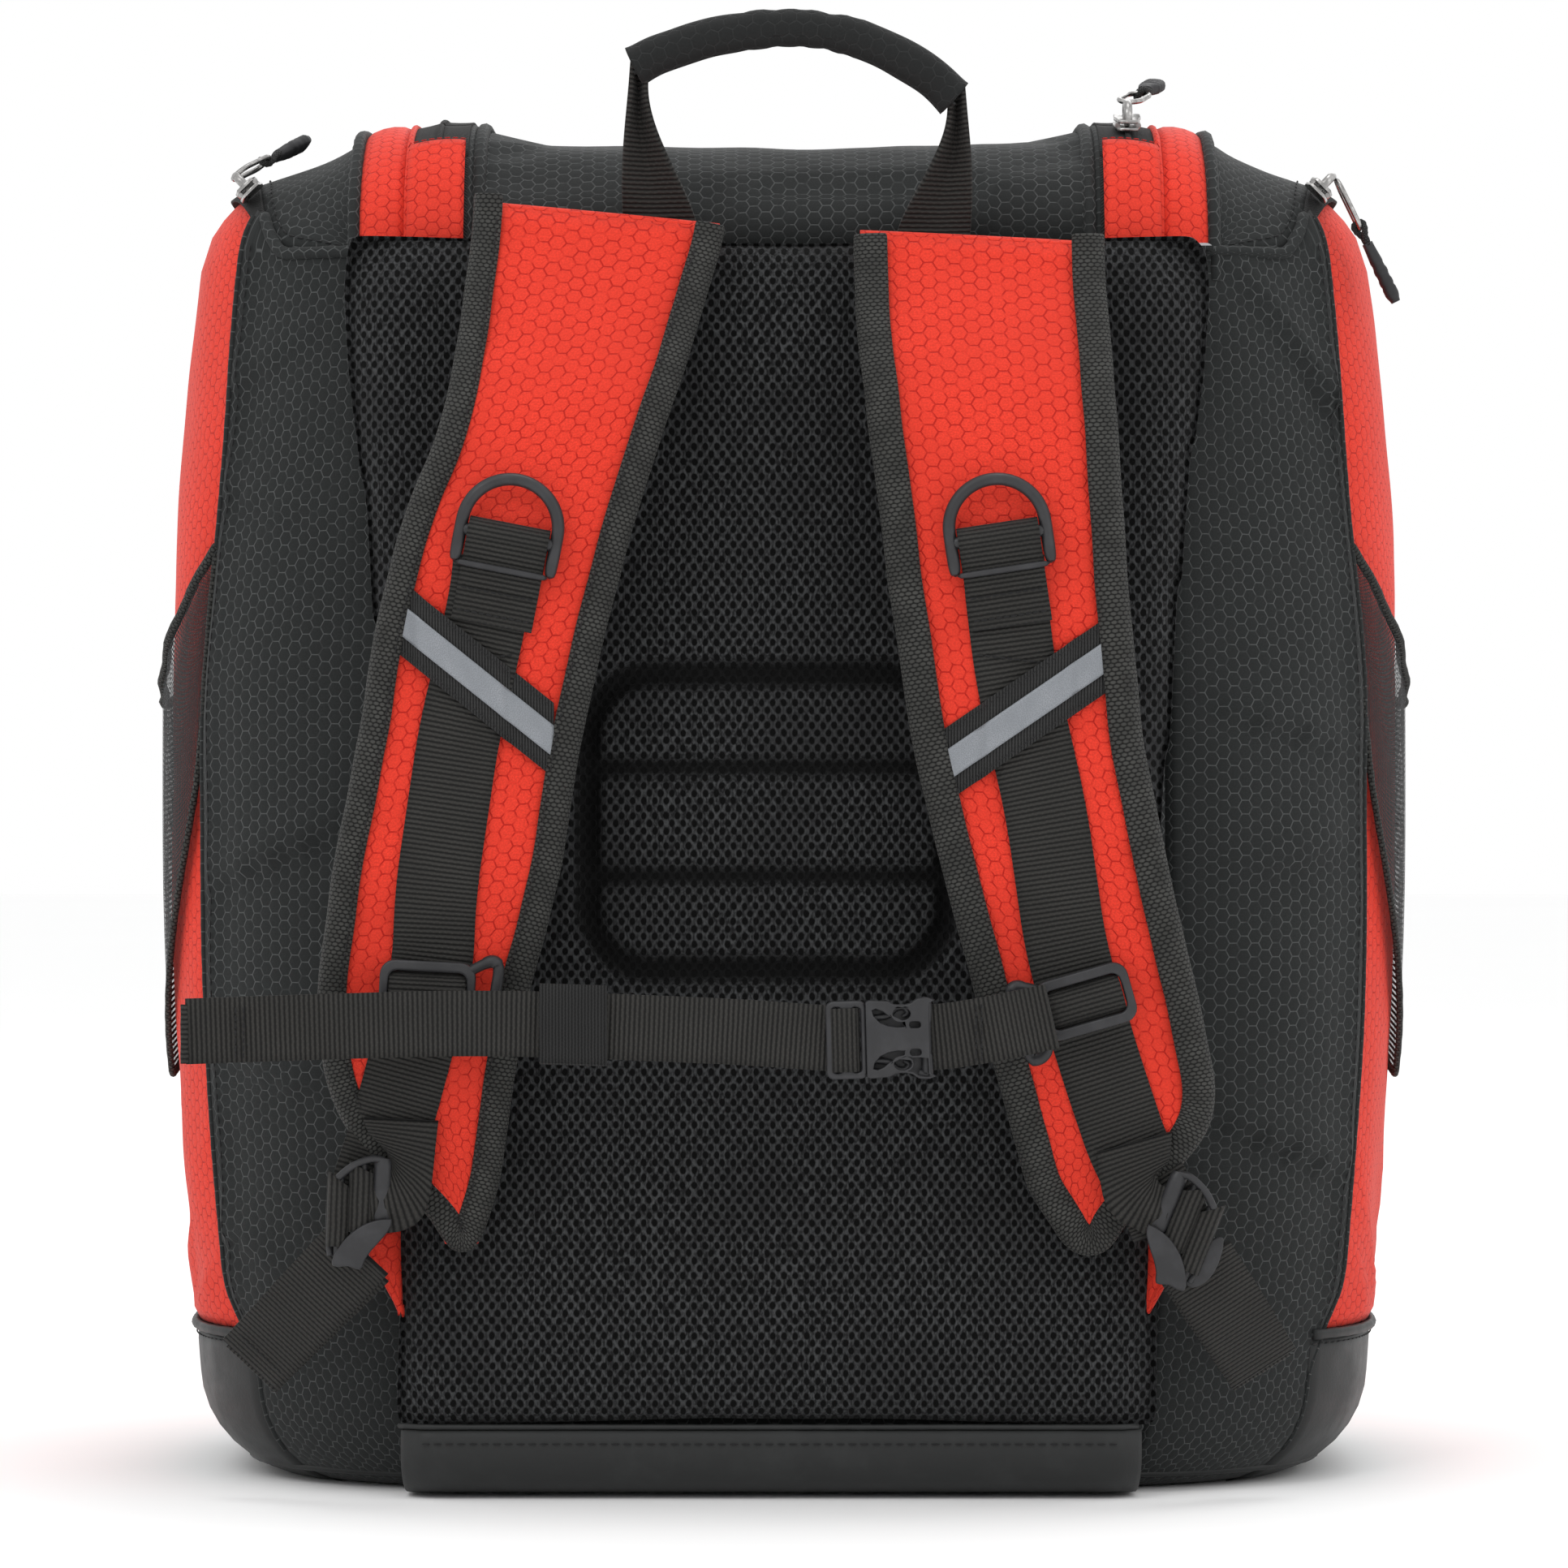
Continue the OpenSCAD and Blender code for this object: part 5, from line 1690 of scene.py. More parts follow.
def sternum_straps():
    def wave(x):
        return STERNUM_Y + 0.9 * math.sin(x * 0.038) - 0.8 + 0.4 * ripple((x, 0, 0), 30, 71)
    o = chest_tape("sternum_webbing_left", -182, 15.5, 90, wave, twist=0.03)
    place(o, "sternum_plug", "webbing", "sternum_webbing_left")
    hem = chest_tape("sternum_tail_fold", -182.4, -164, 10, lambda x: wave(x) + 1.5, 20, 1.4)
    place(hem, "sternum_plug", "webbing")
    fold = [Vector((-182.6, wave(-182) + 0.7, sternum_z(-182) + s)) for s in spread(-9.8, 9.8, 10)]
    piping("sternum_tail_end", fold, 1.35, M_WEB, "sternum_plug", "webbing")
    lines = [[Vector((x, wave(x) - 0.95, sternum_z(x) + s)) for s in spread(-8.5, 8.5, 8)] for x in (-167,
            -164.6)]
    stitches("sternum_tail_stitch", lines, M_THREAD, "sternum_plug", "webbing", 1.8, 0.5, 0.28)
    o = chest_tape("sternum_webbing_right", 44.5, 82, 26, lambda x: STERNUM_Y - 1.0
            + 5.0 * ease((x - 62) / 20), 20)
    place(o, "sternum_strap", "webbing", "sternum_webbing_right")
    back = chest_tape("sternum_webbing_right_back", 44.5, 82, 20, lambda x: STERNUM_Y + 1.0
            + 4.4 * ease((x - 62) / 20), 19.6)
    place(back, "sternum_strap", "webbing")
    lines = [[Vector((x, STERNUM_Y - 2.0 + 5.0 * ease((x - 62) / 20), sternum_z(x) + s)) for s in spread(-9,
            9, 8)]
             for x in (58.5, 60.2)]
    stitches("sternum_right_stitch", lines, M_THREAD, "sternum_strap", "webbing", 1.6, 0.4, 0.28)
    rows = []
    x0, x1 = -74.5, -54
    loop = [(-11.6, -1.9), (-11.9, 0.2), (-11.2, 2.3), (0, 2.9), (11.2, 2.3), (11.9, 0.2), (11.6, -1.9), (0,
            -2.6), (-11.6, -1.9)]
    for x in spread(x0, x1, 14):
        rows.append([Vector((x, wave(x) + 0.2 + b + 0.15 * math.sin(x), sternum_z(x) + a)) for a,
                b in smooth_pairs(loop, 40)])
    o = sheet_grid("elastic_keeper", rows, M_ELASTIC, False, 1.0)
    place(o, "sternum_plug", "elastic", "elastic_keeper")


def mirror_y(points):
    return [(x, -y) for x, y in points][::-1]


def buckle():
    """Side-release buckle: a socket with latch windows and a plug with its ladder frame."""
    x0, z0 = BUCKLE_AT
    to_world = facing(x0, STERNUM_Y - 0.4, z0, 1.5)
    upper = [(-9.6, 11.4), (-8.6, 11.9), (-2.6, 11.5), (-1.0, 10.6), (1.6, 10.2), (4.2, 10.8), (6.2, 12.2),
            (9.4, 12.4),
             (11.6, 11.6), (9.9, 10.6), (9.7, 6.0)]
    outline = upper + mirror_y(upper)
    crescent = [(-7.6, 8.9), (-6.4, 9.3), (-4.4, 8.5), (-2.7, 7.1), (0.2, 5.6), (1.9, 4.8), (2.1, 3.7),
            (0.0, 3.6),
                (-3.0, 4.1), (-5.4, 5.2), (-7.2, 7.2)]
    pocket = [(1.4 + 2.7 * math.cos(a), 7.6 + 1.9 * math.sin(a)) for a in spread(0, 2 * math.pi, 16)[:-1]]
    window = rounded_rect(3.4, 1.9, 0.8, 5.4, 4.2, 3)
    holes = [crescent, pocket, window]
    front = moulded("socket_front", [outline] + [h[::-1] for h in holes] + [mirror_y(h)[::-1]
            for h in holes], 1.8, 0.55,
                    M_PLASTIC, lambda p: to_world((p[0], p[1], p[2] + 2.4)))
    rear = moulded("socket_rear", [outline], 1.8, 0.55, M_PLASTIC,
            lambda p: to_world((p[0], p[1], p[2] - 2.2)))
    walls = []
    for k in (-1, 1):
        path = [Vector((x, k * y, 0)) for x, y in ((-8.6, 10.4), (-3.0, 10.2))]
        walls.append(tube([to_world(p) for p in path], 1.5, 10))
        path = [Vector((x, k * y, 0)) for x, y in ((6.2, 10.6), (9.2, 11.0), (9.2, 5))]
        walls.append(tube([to_world(p) for p in smooth_curve(path, 10)], 1.4, 10))
    spine = tube([to_world(Vector((8.7, y, 0))) for y in spread(-10.5, 10.5, 6)], 1.7, 10)
    o = welded("buckle_socket", [front, rear, spine] + walls, M_PLASTIC)
    place(o, "sternum_strap", "strap_plastic", "buckle_socket")
    px = -15.6
    frame_outer = rounded_rect(12.4, 23.8, 2.2, px, 0)
    slots = [rounded_rect(2.4, 19.6, 1.0, px - 2.9, 0), rounded_rect(2.4, 19.6, 1.0, px + 3.2, 0)]
    frame = moulded("plug_frame", [frame_outer] + [s[::-1] for s in slots], 4.4, 0.9, M_PLASTIC, to_world)
    arms = []
    for k in (-1, 1):
        path = smooth_curve([(-10, k * 6.4, 0), (-6, k * 6.6, 0), (-2.6, k * 7.2, 0), (-0.4, k * 9.2, 0),
                (2.2, k * 9.5, 0),
                             (3.3, k * 7.8, 0), (1.8, k * 6.7, 0)], 26)
        arms.append(tube([to_world(p) for p in path], [1.0] * 20 + [0.95, 0.9, 0.85, 0.8, 0.75, 0.7], 10,
                False, Vector((0, 1, 0))))
    arms.append(tube([to_world(Vector((x, 0, 0))) for x in (-10, -4, 1, 3)], [1.5, 1.4, 1.2, 0.8], 10,
            False, Vector((0, 1, 0))))
    o = welded("buckle_plug", [frame] + arms, M_PLASTIC)
    place(o, "sternum_plug", "strap_plastic", "buckle_plug")
    rows = []
    turn_over = [(-6.6, 0.2), (-5.6, 1.6), (-4.1, 2.8), (-2.2, 3.0), (0, 3.1), (1.8, 3.0), (3.3, 2.4), (4.2,
            1.0), (4.4, -0.8),
                 (3.4, -2.2), (1, -2.8), (-4, -2.6)]
    for a, b in smooth_pairs([(px + 0.1 + x * 0.92, y) for x, y in turn_over], 36):
        rows.append([to_world((a, s, b)) for s in spread(-9.7, 9.7, 6)])
    o = sheet_grid("buckle_webbing_fold", rows, M_WEB, True, 1.0)
    place(o, "sternum_plug", "webbing")


def sternum_ring(side):
    """Adjuster on the strap webbing: a rounded ring, its bar, and a hook for the sternum webbing."""
    x0, z0, turn = RING_AT[side]
    to_world = facing(x0, strap_y(z0) - 6.6, z0, turn)
    k = -side
    outline = rounded_rect(29.5, 19, 4.6)
    hole = rounded_rect(24, 12.4, 2.6)
    ring = moulded("ring", [outline, hole[::-1]], 3.0, 0.8, M_PLASTIC, to_world)
    loop = smooth_curve([(k * 13.4, 7.4, 0), (k * 16.6, 9.2, 0.4), (k * 19.4, 10.4, 0.6), (k * 21.3, 9.2,
            0.6),
                         (k * 21.6, 6.4, 0.5), (k * 21.0, 0, 0.3), (k * 21.2, -8.0, 0.5), (k * 20.6, -12.2,
                                 0.6),
                         (k * 17.6, -12.6, 0.5), (k * 14.8, -10.2, 0.3), (k * 13.4, -6.8, 0)], 44)
    radii = [1.6 + 0.7 * math.sin(math.pi * i / 43) * (1 if 0.12 < i / 43 < 0.3 or 0.7 < i / 43 < 0.88
            else 0.25) for i in range(44)]
    hook = tube([to_world(p) for p in loop], radii, 12, False, Vector((0, 1, 0)))
    o = welded("sternum_ring_" + tag(side), [ring, hook], M_PLASTIC)
    place(o, "sternum_strap", "strap_plastic", "sternum_ring_" + tag(side))
    rows = []
    for b, c in smooth_pairs([(-6.4, -2.6), (-5.6, -0.6), (-3.6, 1.2), (-0.5, 1.9), (2.8, 1.5), (5.2, -0.2),
            (6.3, -2.6)], 22):
        rows.append([to_world((s, b, c - 0.3 * math.cos(s * 0.2))) for s in spread(-11.6, 11.6, 8)])
    w = sheet_grid("sternum_ring_webbing_" + tag(side), rows, M_WEB, False, 1.2)
    place(w, "harness", "webbing")


# ---------------------------------------------------------------- ladder locks, tails and anchors
LOCKS = {-1: (-130.5, 91.3, -2), 1: (121.8, 85.6, -22)}
LOCK_LIFT = 8.6


def lock_frame(side):
    x0, z0, turn = LOCKS[side]
    return facing(x0, strap_y(z0) - LOCK_LIFT, z0, turn)


def ladder_lock(side):
    """Ladder lock seen on edge: a thick bar, a thin top rail and a leaf-shaped side plate."""
    k = -side
    base = lock_frame(side)

    def to_world(p):
        return base((k * p[0], p[1], p[2]))
    parts = []
    bar = [Vector((6.1, y, 0.4 - 0.02 * abs(y - 8) ** 1.2)) for y in spread(-2.5, 17.0, 12)]
    v, f = tube(bar, [2.2] + [2.75] * 11 + [2.2], 14, False, Vector((0, 0, 1)))
    parts.append(([to_world((6.1 + (p.x - 6.1) * 1.0, p.y, p.z * 0.82)) for p in v], f))
    rail = smooth_curve([(6.4, 16.6, 0.6), (2.6, 16.9, 1.8), (-2.6, 14.8, 2.0), (-6.6, 11.6, 1.4), (-9.2,
            8.2, 0.2),
                         (-9.9, 4.0, -1.2), (-9.9, -8.0, -1.8), (-9.2, -13.6, -1.0)], 40)
    v, f = tube(rail, 1.15, 10, False, Vector((0, 0, 1)))
    parts.append(([to_world(p) for p in v], f))
    leaf = [(9.6, -1.3), (6.0, -1.6), (1.7, -3.0), (-2.2, -5.6), (-5.3, -8.8), (-7.4, -12.2), (-8.6, -15.8),
            (-6.8, -16.8),
            (-3.4, -16.5), (0.3, -17.4), (1.7, -14.3), (3.4, -11.6), (5.4, -9.2), (8.0, -6.0), (9.4, -3.4)]
    leaf = [(p.x, p.y) for p in smooth_curve([(a, b, 0) for a, b in leaf + leaf[:1]], 46)][:-1]
    area = sum(a[0] * b[1] - b[0] * a[1] for a, b in zip(leaf, leaf[1:] + leaf[:1]))
    if area < 0:
        leaf = leaf[::-1]

    def tilted(p):
        return to_world((p[0], p[1], 2.2 + p[2] + 0.10 * (p[1] + 9)))
    parts.append(moulded("leaf", [leaf], 2.0, 0.7, M_PLASTIC, tilted))
    for x, r in ((0.0, 1.5), (-7.0, 1.5)):
        path = [Vector((x, y, -0.8)) for y in spread(-14, 15 + x * 0.6, 6)]
        v, f = tube(path, r, 10, False, Vector((0, 0, 1)))
        parts.append(([to_world(p) for p in v], f))
    if side > 0:
        thumb = [(-6.4, -13.6), (-10.8, -14.6), (-14.4, -10.4), (-15.4, -4.0), (-14.0, 3.0), (-10.4, 1.0),
                (-8.0, -6.0)]
        thumb = [(p.x, p.y) for p in smooth_curve([(a, b, 0) for a, b in thumb + thumb[:1]], 34)][:-1][::-1]
        parts.append(moulded("thumb", [thumb], 1.8, 0.6, M_PLASTIC,
                lambda p: to_world((p[0], p[1], p[2] - 1.6))))
    o = welded("ladder_lock_" + tag(side), parts, M_PLASTIC)
    place(o, tag(side) + "_lock", "strap_plastic", "ladder_lock_" + tag(side))
    for name, x, half, y0, y1, depth in (("inner", -0.2, 3.2, -6.0, 14.0, 2.6), ("outer", -7.2, 2.9, -10.5,
            10.2, 2.3)):
        rows = []
        for a in spread(-105, 105, 18):
            s, c = math.sin(math.radians(a)), math.cos(math.radians(a))
            line = []
            for t in spread(0, 1, 8):
                y = lerp(y0, y1 - 0.55 * half * s * (1 if name == "inner" else 1.6), t)
                line.append(to_world((x + half * s, y, -0.6 + depth * c + 0.3 * math.sin(y * 0.5))))
            rows.append(line)
        w = sheet_grid("lock_webbing_%s_%s" % (name, tag(side)), rows, M_WEB, side > 0, 0.9)
        place(w, tag(side) + "_lock", "webbing")


FANS = {
    -1: [((-129.6, 121), (-106.6, 120)), ((-128.0, 116.5), (-107.6, 112)), ((-124.6, 112.6), (-108.4, 105)),
         ((-122.8, 109.8), (-109.6, 96.5)), ((-122.6, 108.0), (-112.4, 89.6)), ((-122.8, 106.6), (-117.2,
                 86.2)),
         ((-124.6, 105.6), (-122.0, 85.2)), ((-128, 104.6), (-127, 84.6))],
    1: [((119.6, 116.6), (96.6, 110)), ((119.2, 110.0), (97.8, 101.0)), ((118.6, 106.6), (99.6, 94.0)),
        ((116.6, 104.2), (103.4, 89.0)), ((115.6, 101.6), (108.6, 86.4)), ((117.2, 99.6), (112.2, 84.4)),
        ((121.0, 99.0), (116.0, 82.8))],
}


def webbing_fan(side):
    """The strap webbing gathering as it turns into the ladder lock."""
    pairs = FANS[side]
    n = 40
    a = smooth_curve([(p[0][0], 0, p[0][1]) for p in pairs], n)
    b = smooth_curve([(p[1][0], 0, p[1][1]) for p in pairs], n)
    rows = []
    for i, (p, q) in enumerate(zip(a, b)):
        t = i / (n - 1)
        line = []
        for s in spread(0, 1, 10):
            m = p.lerp(q, s)
            on_face = on_strap(side, m.x, m.z, 2.2).y
            lock_y = strap_y(LOCKS[side][1]) - LOCK_LIFT + 1.0
            y = lerp(on_face, lock_y, ease(t * 1.25)) - 1.4 * math.sin(math.pi * s) * ease(t * 1.5)
            pleat = 0.8 * math.sin(s * 9.0) * ease(t * 1.4) * (1 - s * 0.4)
            line.append(Vector((m.x, y + pleat, m.z)))
        rows.append(line)
    o = sheet_grid("webbing_fan_" + tag(side), rows, M_WEB, side > 0, 1.4)
    place(o, "harness", "webbing")


TAILS = {-1: ((-131.0, 80.5), (-166.5, 42.5)), 1: ((127.5, 76.5), (149.8, 41.5))}


def webbing_tail(side):
    """Free tail below the lock, doubled over at its end."""
    (xa, za), (xb, zb) = TAILS[side]
    d = Vector((xb - xa, 0, zb - za))
    run = d.normalized()
    across = Vector((run.z, 0, -run.x)) * (1 if side < 0 else -1)
    lock_y = strap_y(LOCKS[side][1]) - LOCK_LIFT + 2.2

    def y_at(t):
        return lerp(lock_y, -143.5, t ** 0.8) - 3.2 * math.sin(math.pi * t)
    for name, y_shift, t0 in (("", 0.0, 0.0), ("_under", 2.3, 0.05)):
        rows = []
        for t in spread(t0, 1, 44):
            p = Vector((xa, 0, za)) + d * t
            cup = 0.7 * math.sin(t * 5)
            line = []
            for s in spread(-1, 1, 8):
                off = (1.8 * (1 - t) if name else 0)
                q = p + across * (11.9 * s) + Vector((off, 0, -off * 0.4)) * (-side)
                line.append(Vector((q.x, y_at(t) + y_shift * (1 - 0.35 * t) + cup * (s * s - 0.5), q.z)))
            rows.append(line)
        o = sheet_grid("webbing_tail%s_%s" % (name, tag(side)), rows, M_WEB, side < 0, 1.3)
        place(o, "harness", "webbing", *([] if name else ["lower_webbing_" + tag(side)]))
    end = [Vector((xb, y_at(1) + 0.8, zb)) + across * s + run * 0.3 for s in spread(-11.6, 11.6, 10)]
    piping("webbing_tail_end_" + tag(side), end, 1.5, M_WEB, "harness", "webbing")
    lines = [[Vector((xb, y_at(0.9) - 1.1, zb)) + across * s - run * back for s in spread(-10, 10, 8)]
            for back in (4.5, 6.2)]
    stitches("webbing_tail_stitch_" + tag(side), lines, M_THREAD, "harness", "webbing", 1.7, 0.5, 0.26)


ANCHORS = {-1: [(-119.3, 57.5), (-121.6, 63.0), (-129.0, 77.8), (-131.5, 88.0), (-119.2, 92.0)],
           1: [(112.4, 56.8), (115.4, 62.0), (121.0, 73.8), (123.0, 84.0), (112.6, 88.0)]}


def anchor_tab(side):
    """Red folded tab sewn into the pad's side seam, holding the lower webbing."""
    low, mid, out, top_out, top_in = [Vector((x, 0, z)) for x, z in ANCHORS[side]]
    n = 16
    rows = []
    for t in spread(0, 1, n):
        inner = low.lerp(top_in, t)
        outer = smooth_curve([low, mid, out, top_out], n + 1)[round(t * n)]
        line = []
        for s in spread(0, 1, 6):
            p = inner.lerp(outer, s)
            line.append(Vector((p.x, -141.5 - 9.0 * s * t - 1.6 * math.sin(math.pi * s), p.z)))
        rows.append(line)
    o = sheet_grid("anchor_tab_" + tag(side), rows, M_RED, side < 0, 1.6)
    place(o, "root", "red_fabric", "anchor_tab_" + tag(side))
    piping("anchor_fold_" + tag(side), [r[-1] for r in rows], 1.1, M_RED, "root", "red_fabric")


# ---------------------------------------------------------------- haul handle
HAUL_Y, HAUL_Z, HAUL_LEAN, HAUL_X = -144, 399, 8, 4
SLEEVE_LINE = [(-46.8, 447.4), (-38, 451.6), (-22, 456.6), (-3, 459.2), (14, 458.4), (30, 453.6), (44,
        445.6), (53.2, 437.6)]


def haul_y(z):
    return HAUL_Y - max(0.0, z - HAUL_Z) * math.tan(math.radians(HAUL_LEAN))


def haul_handle():
    """Webbing loop with a padded fabric sleeve sewn round its top."""
    centre = smooth_curve([(x, haul_y(z), z) for x, z in SLEEVE_LINE], 70)
    verts, faces, uvs = [], [], []
    sides = 22
    frames = frames_along(centre, Vector((0, -1, 0)))
    run = 0.0
    for i, (p, (t, s, l)) in enumerate(zip(centre, frames)):
        run += (p - centre[i - 1]).length if i else 0
        share = i / (len(centre) - 1)
        flare = 1 + 0.08 * (math.exp(-share * 30) + math.exp(-(1 - share) * 30))
        pinch = 1 - sum(d * math.exp(-((share - at) / w) ** 2) for at, w, d in
                        ((0.36, 0.012, 0.05), (0.43, 0.018, 0.09), (0.50, 0.014, 0.07), (0.57, 0.02, 0.11),
                                (0.63, 0.012, 0.06)))
        for k in range(sides):
            a = 2 * math.pi * k / sides
            r = 5.15 * flare * pinch + 0.45 * ripple(p + s * math.cos(a) * 5 + l * math.sin(a) * 5, 11, 81)
            verts.append(p + (s * math.cos(a) * 1.02 + l * math.sin(a) * 0.98) * r)
            uvs.append((k / sides * 33, run))
    n = len(centre)
    for i in range(n - 1):
        for k in range(sides):
            a, b = i * sides, (i + 1) * sides
            faces.append((a + k, a + (k + 1) % sides, b + (k + 1) % sides, b + k))
    o = mesh_object("haul_grip", verts, faces, M_GRIP, uvs)
    m = o.modifiers.new("thickness", "SOLIDIFY")
    m.thickness = 0.9 * MM
    m.offset = -1
    place(o, "haul_loop", "black_fabric", "haul_grip")
    core = tube(centre[1:-1], 3.9, 12)
    place(mesh_object("haul_grip_core", core[0], core[1], M_WEB, [(0, 0)] * len(core[0])), "haul_loop",
            "webbing")
    seam = [Vector((p.x, p.y - 4.6, p.z - 2.4)) for p in centre]
    piping("haul_grip_seam", seam, 0.6, M_GRIP, "haul_loop", "black_fabric")
    stitches("haul_grip_stitch", [[q + Vector((0, -0.35, 1.5)) for q in seam[2:-2]]], M_THREAD, "haul_loop",
            "black_fabric", 2.2, 0.9, 0.22)
    for k, (foot, base_w, top_at, foot_z) in enumerate((((-50.0, -27.0), 23, (-46.4, -43.2), 396.5),
            ((34.8, 58.0), 23, (51.8, 55.0), 393.5))):
        top_z = 449.0 if k == 0 else 441.5
        rows = []
        for t in spread(0, 1, 40):
            z = lerp(foot_z, top_z, t)
            narrow = ease(t * 1.12) ** 0.85
            x0 = lerp(foot[0], top_at[0], narrow)
            x1 = lerp(foot[1], top_at[1], narrow)
            w = abs(x1 - x0)
            deep = math.sqrt(max(0.0, (base_w / 2) ** 2 - (w / 2) ** 2)) * 0.62
            bow = (1.4 if k == 0 else -1.4) * math.sin(math.pi * t)
            line = []
            for s in spread(-1, 1, 12):
                fold = (1 - abs(s)) ** 0.9 * deep
                line.append(Vector((lerp(x0, x1, (s + 1) / 2) - bow, haul_y(z) - 3.8 * t + fold * 0.8
                        - 1.2 * (1 - t), z)))
            rows.append(line)
        leg = sheet_grid("haul_leg_%d" % k, rows, M_WEB, False, 1.5)
        place(leg, "haul_loop", "webbing", *(["haul_webbing"] if k == 0 else []))


# ---------------------------------------------------------------- zip sliders and pulls


def turn_about(axis, degrees):
    return Matrix.Rotation(math.radians(degrees), 4, axis)


SIDE_AT = skin(-29, WALL_H, 1.0)
MAIN_FRAME = Matrix.Translation(on_dome(109.85, -92)) @ turn_about("X", 16) @ Matrix.Translation((0, 0,
        2.4))
SIDE_FRAME = Matrix.Translation(SIDE_AT) @ turn_about("Y", 44) @ Matrix.Translation((0, 0, 4.4))
MIRROR = Matrix.Scale(-1, 4, (1, 0, 0))
PULLS = {
    "main": (MAIN_FRAME, Matrix.Translation((0, 3, 8)) @ turn_about("Z", -18) @ turn_about("X", -1), 14,
            "main_zip", "main_slider", "main_pull"),
    "left": (MIRROR @ SIDE_FRAME, Matrix.Translation((0, 1, 8)) @ turn_about("Z", 40) @ turn_about("X", -7),
            16,
             "left_zip", "side_slider_left", "side_pull_left"),
    "right": (SIDE_FRAME, Matrix.Translation((2.4, 0, 7.6)) @ turn_about("Y", 20) @ turn_about("Z", -90),
            21,
              "right_zip", "side_slider_right", "side_pull_right"),
}


def mapped(part, matrix):
    v, f = part
    flip = matrix.determinant() < 0
    return [matrix @ Vector(p) for p in v], [tuple(reversed(q)) for q in f] if flip else f


def slider_and_pull(kind):
    """Nickel zip slider with its bridge, wire loop, braided cord and rubber tip."""
    frame_at, hang, tip, body, slider_node, pull_node = PULLS[kind]
    shield = [(-4.4, 5.2), (-3.2, 6.2), (0, 5.6), (3.2, 6.2), (4.4, 5.2), (4.5, 1.0), (3.7, -3.0), (3.3,
            -5.4), (2.2, -6.1),
              (-2.2, -6.1), (-3.3, -5.4), (-3.7, -3.0), (-4.5, 1.0)][::-1]
    parts = [moulded("plate", [shield], 1.3, 0.4, M_NICKEL, lambda p: Vector((p[0], p[1], p[2] + 0.6))),
             moulded("plate", [shield], 1.3, 0.4, M_NICKEL,
                     lambda p: Vector((p[0] * 0.96, p[1] * 0.96, p[2] + 3.0)))]
    for sx in (-1, 1):
        parts.append(tube([Vector((sx * 3.3, y, 1.8)) for y in (-4.8, 0, 4.6)], 0.85, 8))
    parts.append(tube([Vector((0, y, 1.8)) for y in (1.2, 3.2, 5.2)], 1.0, 8))
    arch = smooth_curve([(0, -4.6, 3.2), (0, -4.2, 5.6), (0, -2.2, 7.4), (0, 1.0, 7.9), (0, 3.6, 7.2), (0,
            4.8, 5.2), (0, 4.9, 3.2)], 26)
    v, f = tube(arch, [1.15] * 26, 12, False, Vector((1, 0, 0)))
    parts.append(([Vector((p.x * 1.25, p.y, p.z)) for p in v], f))
    o = welded("slider_" + kind, [mapped(p, frame_at) for p in parts], M_NICKEL)
    place(o, body, "nickel", slider_node)
    at = frame_at @ hang
    loop = [Vector((4.0 * math.cos(a) * (1.0 if math.sin(a) > 0 else 0.85), 8.2 + 8.6 * math.sin(a) ** 1
            if abs(math.sin(a)) < 2 else 0, 0))
            for a in spread(0, 2 * math.pi, 30)[:-1]]
    loop = [Vector((math.copysign(min(abs(p.x) * 1.25, 3.6), p.x), p.y, 0)) for p in loop]
    wire = tube(loop, 0.85, 10, True)
    o = welded("pull_wire_" + kind, [mapped(wire, at)], M_NICKEL)
    place(o, body + "_pull", "nickel", pull_node)
    bight = smooth_curve([(1.3, 25, 0), (1.7, 20, 0.2), (1.5, 17.4, 1.2), (0.8, 15.4, 1.4), (0, 14.8, 0),
            (-0.8, 15.4, -1.4),
                          (-1.5, 17.4, -1.2), (-1.7, 20, -0.2), (-1.3, 25, 0)], 40)
    v, f = tube(bight, [1.05 + 0.1 * math.sin(i * 2.0) for i in range(40)], 9, False, Vector((0, 0, 1)))
    uvs = [(k * 0.75, i * 0.8) for i in range(40) for k in range(9)]
    cord = mesh_object("pull_cord_" + kind, *mapped((v, f), at), M_CORD, uvs)
    place(cord, body + "_pull", "zip_pull")
    stations = []
    for i, y in enumerate(spread(22, 22 + tip, 22)):
        t = (y - 22) / tip
        w = lerp(2.4, 3.6, ease(t * 2.2)) * (1 - 0.25 * ease((t - 0.86) / 0.14)) + (0.25 if 0.25 < t < 0.75
                and i % 4 < 2 else 0)
        h = lerp(1.7, 2.2, ease(t * 2)) * (1 - 0.35 * ease((t - 0.86) / 0.14)) - (0.28 if 0.25 < t < 0.75
                and i % 4 < 2 else 0)
        stations.append((y, w, h))
    verts, faces = [], []
    sides = 16
    for y, w, h in stations:
        for k in range(sides):
            a = 2 * math.pi * k / sides
            verts.append(Vector((w * signed_pow(math.cos(a), 0.7), y, h * signed_pow(math.sin(a), 0.7))))
    m = len(stations)
    for i in range(m - 1):
        for k in range(sides):
            faces.append((i * sides + k, i * sides + (k + 1) % sides, (i + 1) * sides + (k + 1) % sides, (i
                    + 1) * sides + k))
    faces.append(tuple(range(sides))[::-1])
    faces.append(tuple((m - 1) * sides + k for k in range(sides)))
    faces = [q[::-1] for q in faces]
    o = mesh_object("pull_tip_" + kind, *mapped((verts, faces), at), M_TIP)
    place(o, body + "_pull", "zip_pull")


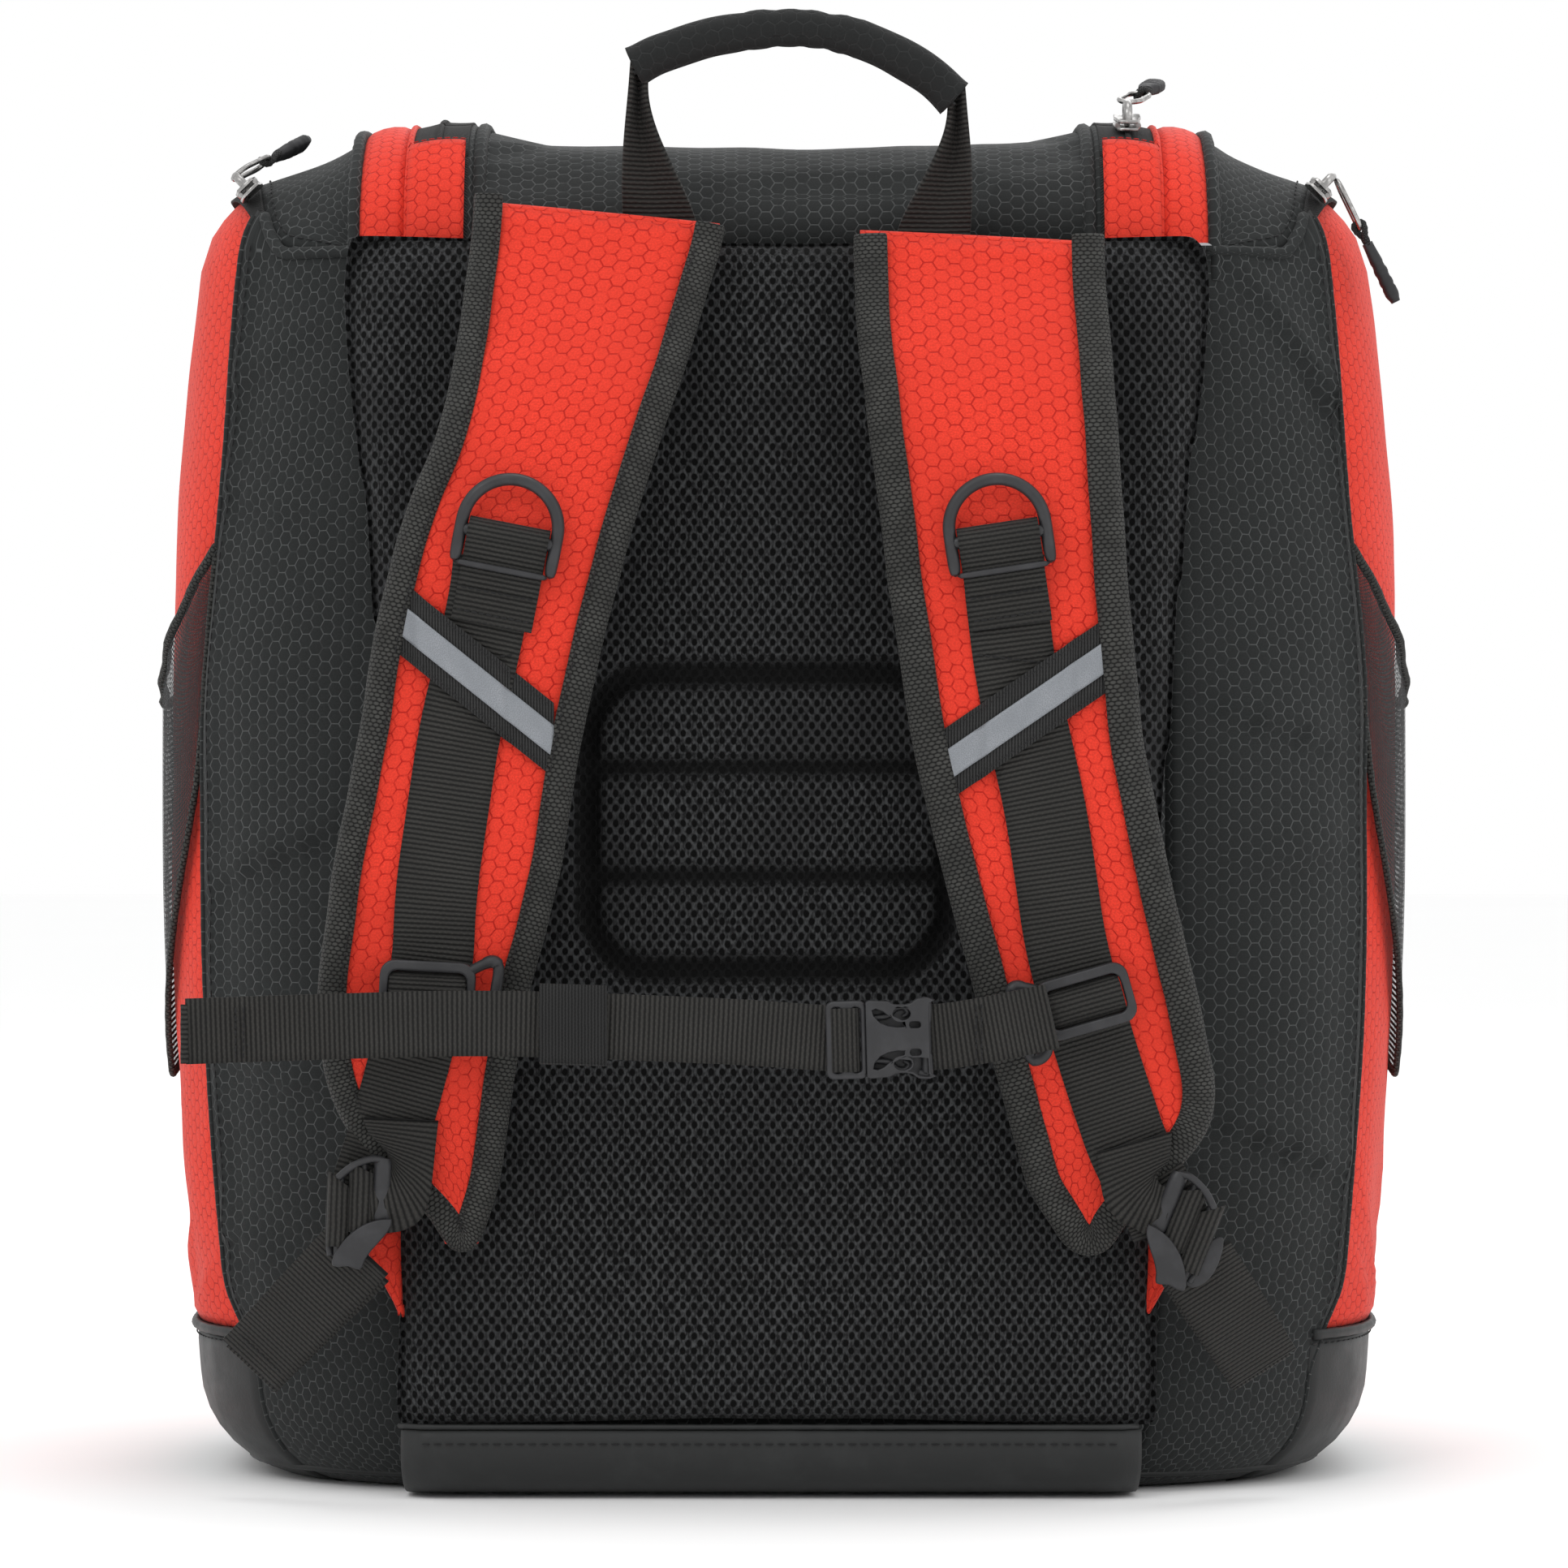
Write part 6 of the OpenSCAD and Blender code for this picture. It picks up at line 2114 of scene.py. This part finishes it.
# ---------------------------------------------------------------- camera, light and floor
def studio():
    scene = bpy.context.scene
    cam = bpy.data.cameras.new("camera")
    cam.lens = 161.9
    cam.sensor_width = 36
    cam.clip_end = 60
    o = bpy.data.objects.new("camera", cam)
    o.location = (0, -2.350, 0.2238)
    o.rotation_euler = (math.radians(90), 0, 0)
    scene.collection.objects.link(o)
    scene.camera = o
    world = bpy.data.worlds.new("studio")
    world.use_nodes = True
    world.node_tree.nodes["Background"].inputs[0].default_value = (1, 1, 1, 1)
    world.node_tree.nodes["Background"].inputs[1].default_value = 1.0
    scene.world = world
    lamps = {
        "key": ((-1.2, -2.2, 2.3), 1.2, 15), "fill": ((1.9, -1.8, 1.2), 1.4, 5),
        "top": ((0.2, -0.1, 2.6), 1.0, 12), "back": ((0.5, 2.6, 1.9), 1.4, 10),
    }
    for name, (at, size, power) in lamps.items():
        lamp = bpy.data.lights.new(name, "AREA")
        lamp.size = size
        lamp.energy = power
        lo = bpy.data.objects.new(name, lamp)
        lo.location = at
        lo.rotation_euler = (Vector((0, 0, 0.22)) - Vector(at)).to_track_quat("-Z", "Y").to_euler()
        scene.collection.objects.link(lo)
    s = Shader("floor_white", 0.9, specular=0.1)
    u, v, vec = s.plane(False)
    cloud = s.noise(vec, 0.002, 2.0)
    s.colour(s.mix(cloud, (0.975, 0.975, 0.975, 1), (0.99, 0.99, 0.99, 1)))
    ring = [Vector((12000 * math.cos(a), 12000 * math.sin(a), 0)) for a in spread(0, 2 * math.pi, 48)[:-1]]
    floor = mesh_object("floor", ring, [tuple(range(len(ring)))], s.mat, None, False)
    scene.view_settings.view_transform = "Standard"


# ---------------------------------------------------------------- everything together
studio()
pad = back_pad()
hinged = lid()
front_panel()
front_pocket()
base()
back_panel()
for side in SIDES:
    rear_panel(side)
    boot_door(side)
    side_pocket(side)
    top_gusset(side)
    top_band(side)
    garage(side)
    divider(side)
    shoulder_strap(side)
    strap_webbing(side)
    ring_loop(side)
    d_ring(side)
    reflective_strip(side)
    sternum_ring(side)
    ladder_lock(side)
    webbing_fan(side)
    webbing_tail(side)
    anchor_tab(side)
zip_tapes()
base_strip()
sternum_straps()
buckle()
haul_handle()
for kind in PULLS:
    slider_and_pull(kind)
run_cloth()
finish_pad(pad)
for piece, start, end in hinged:
    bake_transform(piece)
    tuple(start)
    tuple(end)
for node, mat in (("base_board", M_BOARD), ("frame_sheet", M_BOARD)):
    for k in range(len(frame["nodes"][node].material_slots)):
        frame["nodes"][node].material_slots[k].material = mat
